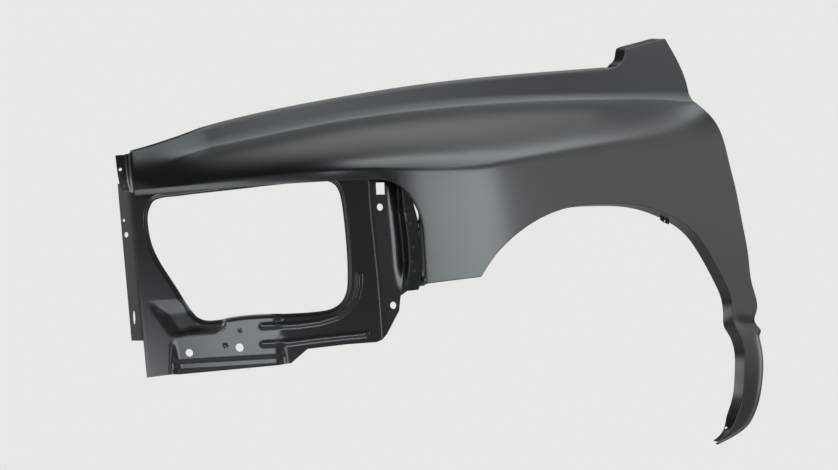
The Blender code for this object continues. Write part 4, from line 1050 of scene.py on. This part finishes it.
class FenderFinishSettings(PropertyGroup):
    skin_colour: FloatVectorProperty(
        name="Skin colour", description="Primer colour of the skin",
        default=(0.0062, 0.0072, 0.0068), subtype="COLOR")
    inner_colour: FloatVectorProperty(
        name="Inner colour", description="Primer colour of the inner pieces",
        default=(0.0060, 0.0062, 0.0064), subtype="COLOR")
    weld_colour: FloatVectorProperty(
        name="Weld colour", description="Burnt primer at the spot welds",
        default=(0.030, 0.017, 0.010), subtype="COLOR")
    skin_roughness: FloatProperty(
        name="Skin roughness", description="Roughness of the skin's primer", default=0.28)
    inner_roughness: FloatProperty(
        name="Inner roughness", description="Roughness of the inner primer", default=0.24)
    peel: FloatProperty(
        name="Orange peel", description="Strength of the primer's fine relief", default=0.008)
    peel_height: FloatProperty(
        name="Peel height", description="Height of the primer's fine relief",
        default=0.0002, unit="LENGTH", precision=5)
    drift: FloatProperty(
        name="Drift", description="Slow change of roughness over the sheet", default=0.03)
    weld_roughening: FloatProperty(
        name="Weld roughening", description="Added roughness at the spot welds", default=0.10)
    ior: FloatProperty(
        name="IOR", description="Refraction index of the primer's binder", default=1.5)


class FenderStageSettings(PropertyGroup):
    camera_place: FloatVectorProperty(
        name="Camera", description="Place of the camera",
        default=(-4.08284, -3.10281, -0.76765), subtype="TRANSLATION")
    camera_heading: FloatProperty(
        name="Heading", description="Camera's heading clockwise from +Y",
        default=radians(51.68), subtype="ANGLE")
    camera_rise: FloatProperty(
        name="Rise", description="Angle by which the camera looks up",
        default=radians(5.2), subtype="ANGLE")
    camera_roll: FloatProperty(
        name="Roll", description="Camera's roll", default=radians(2.83), subtype="ANGLE")
    lens: FloatProperty(
        name="Lens", description="Focal length in millimetres", default=108.6)
    floor_drop: FloatProperty(
        name="Floor drop", description="Depth of the floor below the rail pad", default=1.75, unit="LENGTH")
    pale: FloatVectorProperty(
        name="Pale", description="Colour of the floor and of the surroundings",
        default=(0.80, 0.80, 0.79), subtype="COLOR")
    ceiling_share: FloatProperty(
        name="Ceiling", description="Brightness of the ceiling, of the walls' level", default=0.04)
    dark_share: FloatProperty(
        name="Dark side", description="Brightness behind the camera, of the walls' level", default=0.30)
    dark_start: FloatProperty(
        name="Dark start", description="Facing at which the dark side begins", default=0.60)
    dark_end: FloatProperty(
        name="Dark end", description="Facing at which the dark side is fully dark", default=0.88)
    fade_start: FloatProperty(
        name="Fade start", description="Height share at which the walls begin to darken", default=0.36)
    fade_end: FloatProperty(
        name="Fade end", description="Height share at which the ceiling is fully dark", default=0.84)
    side_lamp: FloatProperty(
        name="Side lamp", description="Brightness of the large lamp beside the fender", default=5.0)
    top_lamp: FloatProperty(
        name="Top lamp", description="Brightness of the lamp above the fender", default=2.5)
    nose_lamp: FloatProperty(
        name="Nose lamp", description="Brightness of the low lamp ahead of the nose", default=7.0)
    lip_lamp: FloatProperty(
        name="Lip lamp", description="Brightness of the small lamp for the front lip", default=8.0)
    left_lamp: FloatProperty(
        name="Left lamp", description="Brightness of the lamp beyond the nose", default=4.5)
    back_lamp: FloatProperty(
        name="Back lamp", description="Brightness of the narrow lamp behind the camera", default=10.0)
    lamp_colour: FloatVectorProperty(
        name="Lamp colour", description="Tint of the lamps", default=(0.88, 0.96, 1.0), subtype="COLOR")


class SCENE_OT_fender_skin(Operator):
    """Builds the pressed skin with its turned edges and holes, and the clip ear on its wheel arch"""
    bl_idname = "scene.fender_skin"
    bl_label = "Skin"

    def execute(self, context):
        sheets = context.scene.fender_sheets
        look = context.scene.fender_finish
        points, faces = skin_sheet(sheets.fineness, sheets.bend_steps)
        skin = new_mesh("skin_pressing", points, faces)
        sheet_metal(skin, sheets.thickness)
        cut = skin.modifiers.new("Holes", "BOOLEAN")
        cut.operation = "DIFFERENCE"
        cut.solver = "EXACT"
        cut.object = cutters("skin_hole_cutters", SKIN_HOLES)
        even_shading(skin)
        ear = new_mesh("arch_clip_ear", *clip_tab(CUTTER_SIDES))
        sheet_metal(ear, sheets.thickness)
        coat = primer("skin_primer_look", look, look.skin_colour, look.skin_roughness)
        for piece in (skin, ear):
            piece.data.materials.append(coat)
            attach(piece, "root")
        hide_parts("fender_skin")
        return {"FINISHED"}


class SCENE_OT_fender_panel(Operator):
    """Builds the headlamp panel with its folds, beads, opening and spot welds, and the cowl bracket"""
    bl_idname = "scene.fender_panel"
    bl_label = "Inner pieces"

    def execute(self, context):
        sheets = context.scene.fender_sheets
        look = context.scene.fender_finish
        coat = primer("inner_primer_look", look, look.inner_colour, look.inner_roughness)
        points, faces, places = panel_sheet(sheets.panel_cell, sheets.panel_bend)
        panel = new_mesh("headlamp_pressing", points, faces)
        burnt = panel.data.attributes.new("weld", "FLOAT", "POINT")
        burnt.data.foreach_set("value", weld_share(places))
        bracket = new_mesh("cowl_channel", *bracket_sheet(sheets.thickness, sheets.bracket_columns))
        for piece, node in ((panel, "headlamp_panel"), (bracket, "cowl_bracket")):
            sheet_metal(piece, sheets.thickness)
            even_shading(piece)
            piece.data.materials.append(coat)
            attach(piece, "root")
            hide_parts(node)
        return {"FINISHED"}


class SCENE_OT_fender_stage(Operator):
    """Sets the floor, the surroundings, the lamps and the camera"""
    bl_idname = "scene.fender_stage"
    bl_label = "Stage"

    def execute(self, context):
        stage = context.scene.fender_stage
        self.floor(stage)
        self.surroundings(stage)
        for name, (place, size) in LAMPS.items():
            self.lamp(name, place, size, getattr(stage, name), stage.lamp_colour)
        self.camera(context, stage)
        context.scene.view_settings.view_transform = "Standard"
        return {"FINISHED"}

    def floor(self, stage):
        """A level pale square, below and all round the fender."""
        graph = Graph(bpy.data.materials.new("floor_look"))
        shader = graph.value("ShaderNodeBsdfPrincipled", "BSDF", (), {
            "Base Color": rgb(stage.pale), "Roughness": FLOOR_ROUGHNESS})
        graph.node("ShaderNodeOutputMaterial", (), {"Surface": shader})
        mesh = bpy.data.meshes.new("floor")
        square = np.array(((-1, -1), (1, -1), (1, 1), (-1, 1))) * FLOOR_HALF
        mesh.from_pydata([(x, y, -stage.floor_drop) for x, y in square], [], [(0, 1, 2, 3)])
        mesh.materials.append(graph.owner)
        floor = bpy.data.objects.new("floor", mesh)
        bpy.context.scene.collection.objects.link(floor)

    def surroundings(self, stage):
        """Pale walls all round, which fade into a dark ceiling and behind the photographer."""
        world = bpy.data.worlds.new("studio")
        bpy.context.scene.world = world
        graph = Graph(world)
        way = graph.value("ShaderNodeTexCoord", "Generated")
        height = graph.value("ShaderNodeSeparateXYZ", "Z", (), {"Vector": way})
        above = height.step(stage.fade_start, stage.fade_end) * (1.0 - stage.ceiling_share)
        heading = stage.camera_heading
        towards = graph.value("ShaderNodeVectorMath", "Value", {"operation": "DOT_PRODUCT"},
                              {0: way, 1: (-sin(heading), -cos(heading), 0.0)})
        behind = towards.step(stage.dark_start, stage.dark_end) * (1.0 - stage.dark_share)
        level = (1.0 - above) * (1.0 - behind)
        light = graph.value("ShaderNodeBackground", "Background", (), {
            "Color": rgb(stage.pale), "Strength": level})
        graph.node("ShaderNodeOutputWorld", (), {"Surface": light})

    def lamp(self, name, place, size, level, colour):
        """A soft rectangle that faces the fender; its power is level times pi times its area."""
        light = bpy.data.lights.new(name, "AREA")
        light.shape = "RECTANGLE"
        light.size, light.size_y = size
        light.energy = level * pi * size[0] * size[1]
        light.color = colour
        obj = bpy.data.objects.new(name, light)
        obj.visible_camera = False
        obj.location = place
        obj.rotation_mode = "QUATERNION"
        obj.rotation_quaternion = (Vector(LAMP_TARGET) - Vector(place)).to_track_quat("-Z", "Y")
        bpy.context.scene.collection.objects.link(obj)

    def camera(self, context, stage):
        """The photographer's camera, by its place, its heading, rise and roll."""
        a, e, roll = stage.camera_heading, stage.camera_rise, stage.camera_roll
        ahead = Vector((sin(a) * cos(e), cos(a) * cos(e), sin(e)))
        right = ahead.cross(Vector((0, 0, 1))).normalized()
        up = right.cross(ahead)
        side = cos(roll) * right - sin(roll) * up
        above = sin(roll) * right + cos(roll) * up
        data = bpy.data.cameras.new("camera")
        data.sensor_width = SENSOR_WIDTH
        data.lens = stage.lens
        data.clip_end = VIEW_REACH
        obj = bpy.data.objects.new("camera", data)
        turn = Matrix((side, above, -ahead)).transposed().to_4x4()
        obj.matrix_world = Matrix.Translation(Vector(stage.camera_place)) @ turn
        context.scene.collection.objects.link(obj)
        context.scene.camera = obj


class VIEW3D_PT_fender(Panel):
    """Operators and sizes of the fender's looks"""
    bl_label = "Fender"
    bl_space_type = "VIEW_3D"
    bl_region_type = "UI"
    bl_category = "Fender"

    def draw(self, context):
        for name in GROUPS:
            box = self.layout.box()
            group = getattr(context.scene, name)
            for key in group.__annotations__:
                box.prop(group, key)
        for step in STEPS:
            self.layout.operator(step.bl_idname)


GROUPS = {
    "fender_sheets": FenderSheetSettings,
    "fender_finish": FenderFinishSettings,
    "fender_stage": FenderStageSettings,
}
STEPS = (SCENE_OT_fender_skin, SCENE_OT_fender_panel, SCENE_OT_fender_stage)


def register():
    for name, group in GROUPS.items():
        bpy.utils.register_class(group)
        setattr(bpy.types.Scene, name, PointerProperty(type=group))
    for cls in (*STEPS, VIEW3D_PT_fender):
        bpy.utils.register_class(cls)


def unregister():
    for cls in reversed((*STEPS, VIEW3D_PT_fender)):
        bpy.utils.unregister_class(cls)
    for name, group in GROUPS.items():
        delattr(bpy.types.Scene, name)
        bpy.utils.unregister_class(group)


def main():
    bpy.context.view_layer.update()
    register()
    bpy.ops.scene.fender_skin()
    bpy.ops.scene.fender_panel()
    bpy.ops.scene.fender_stage()


if __name__ == "__main__":
    main()
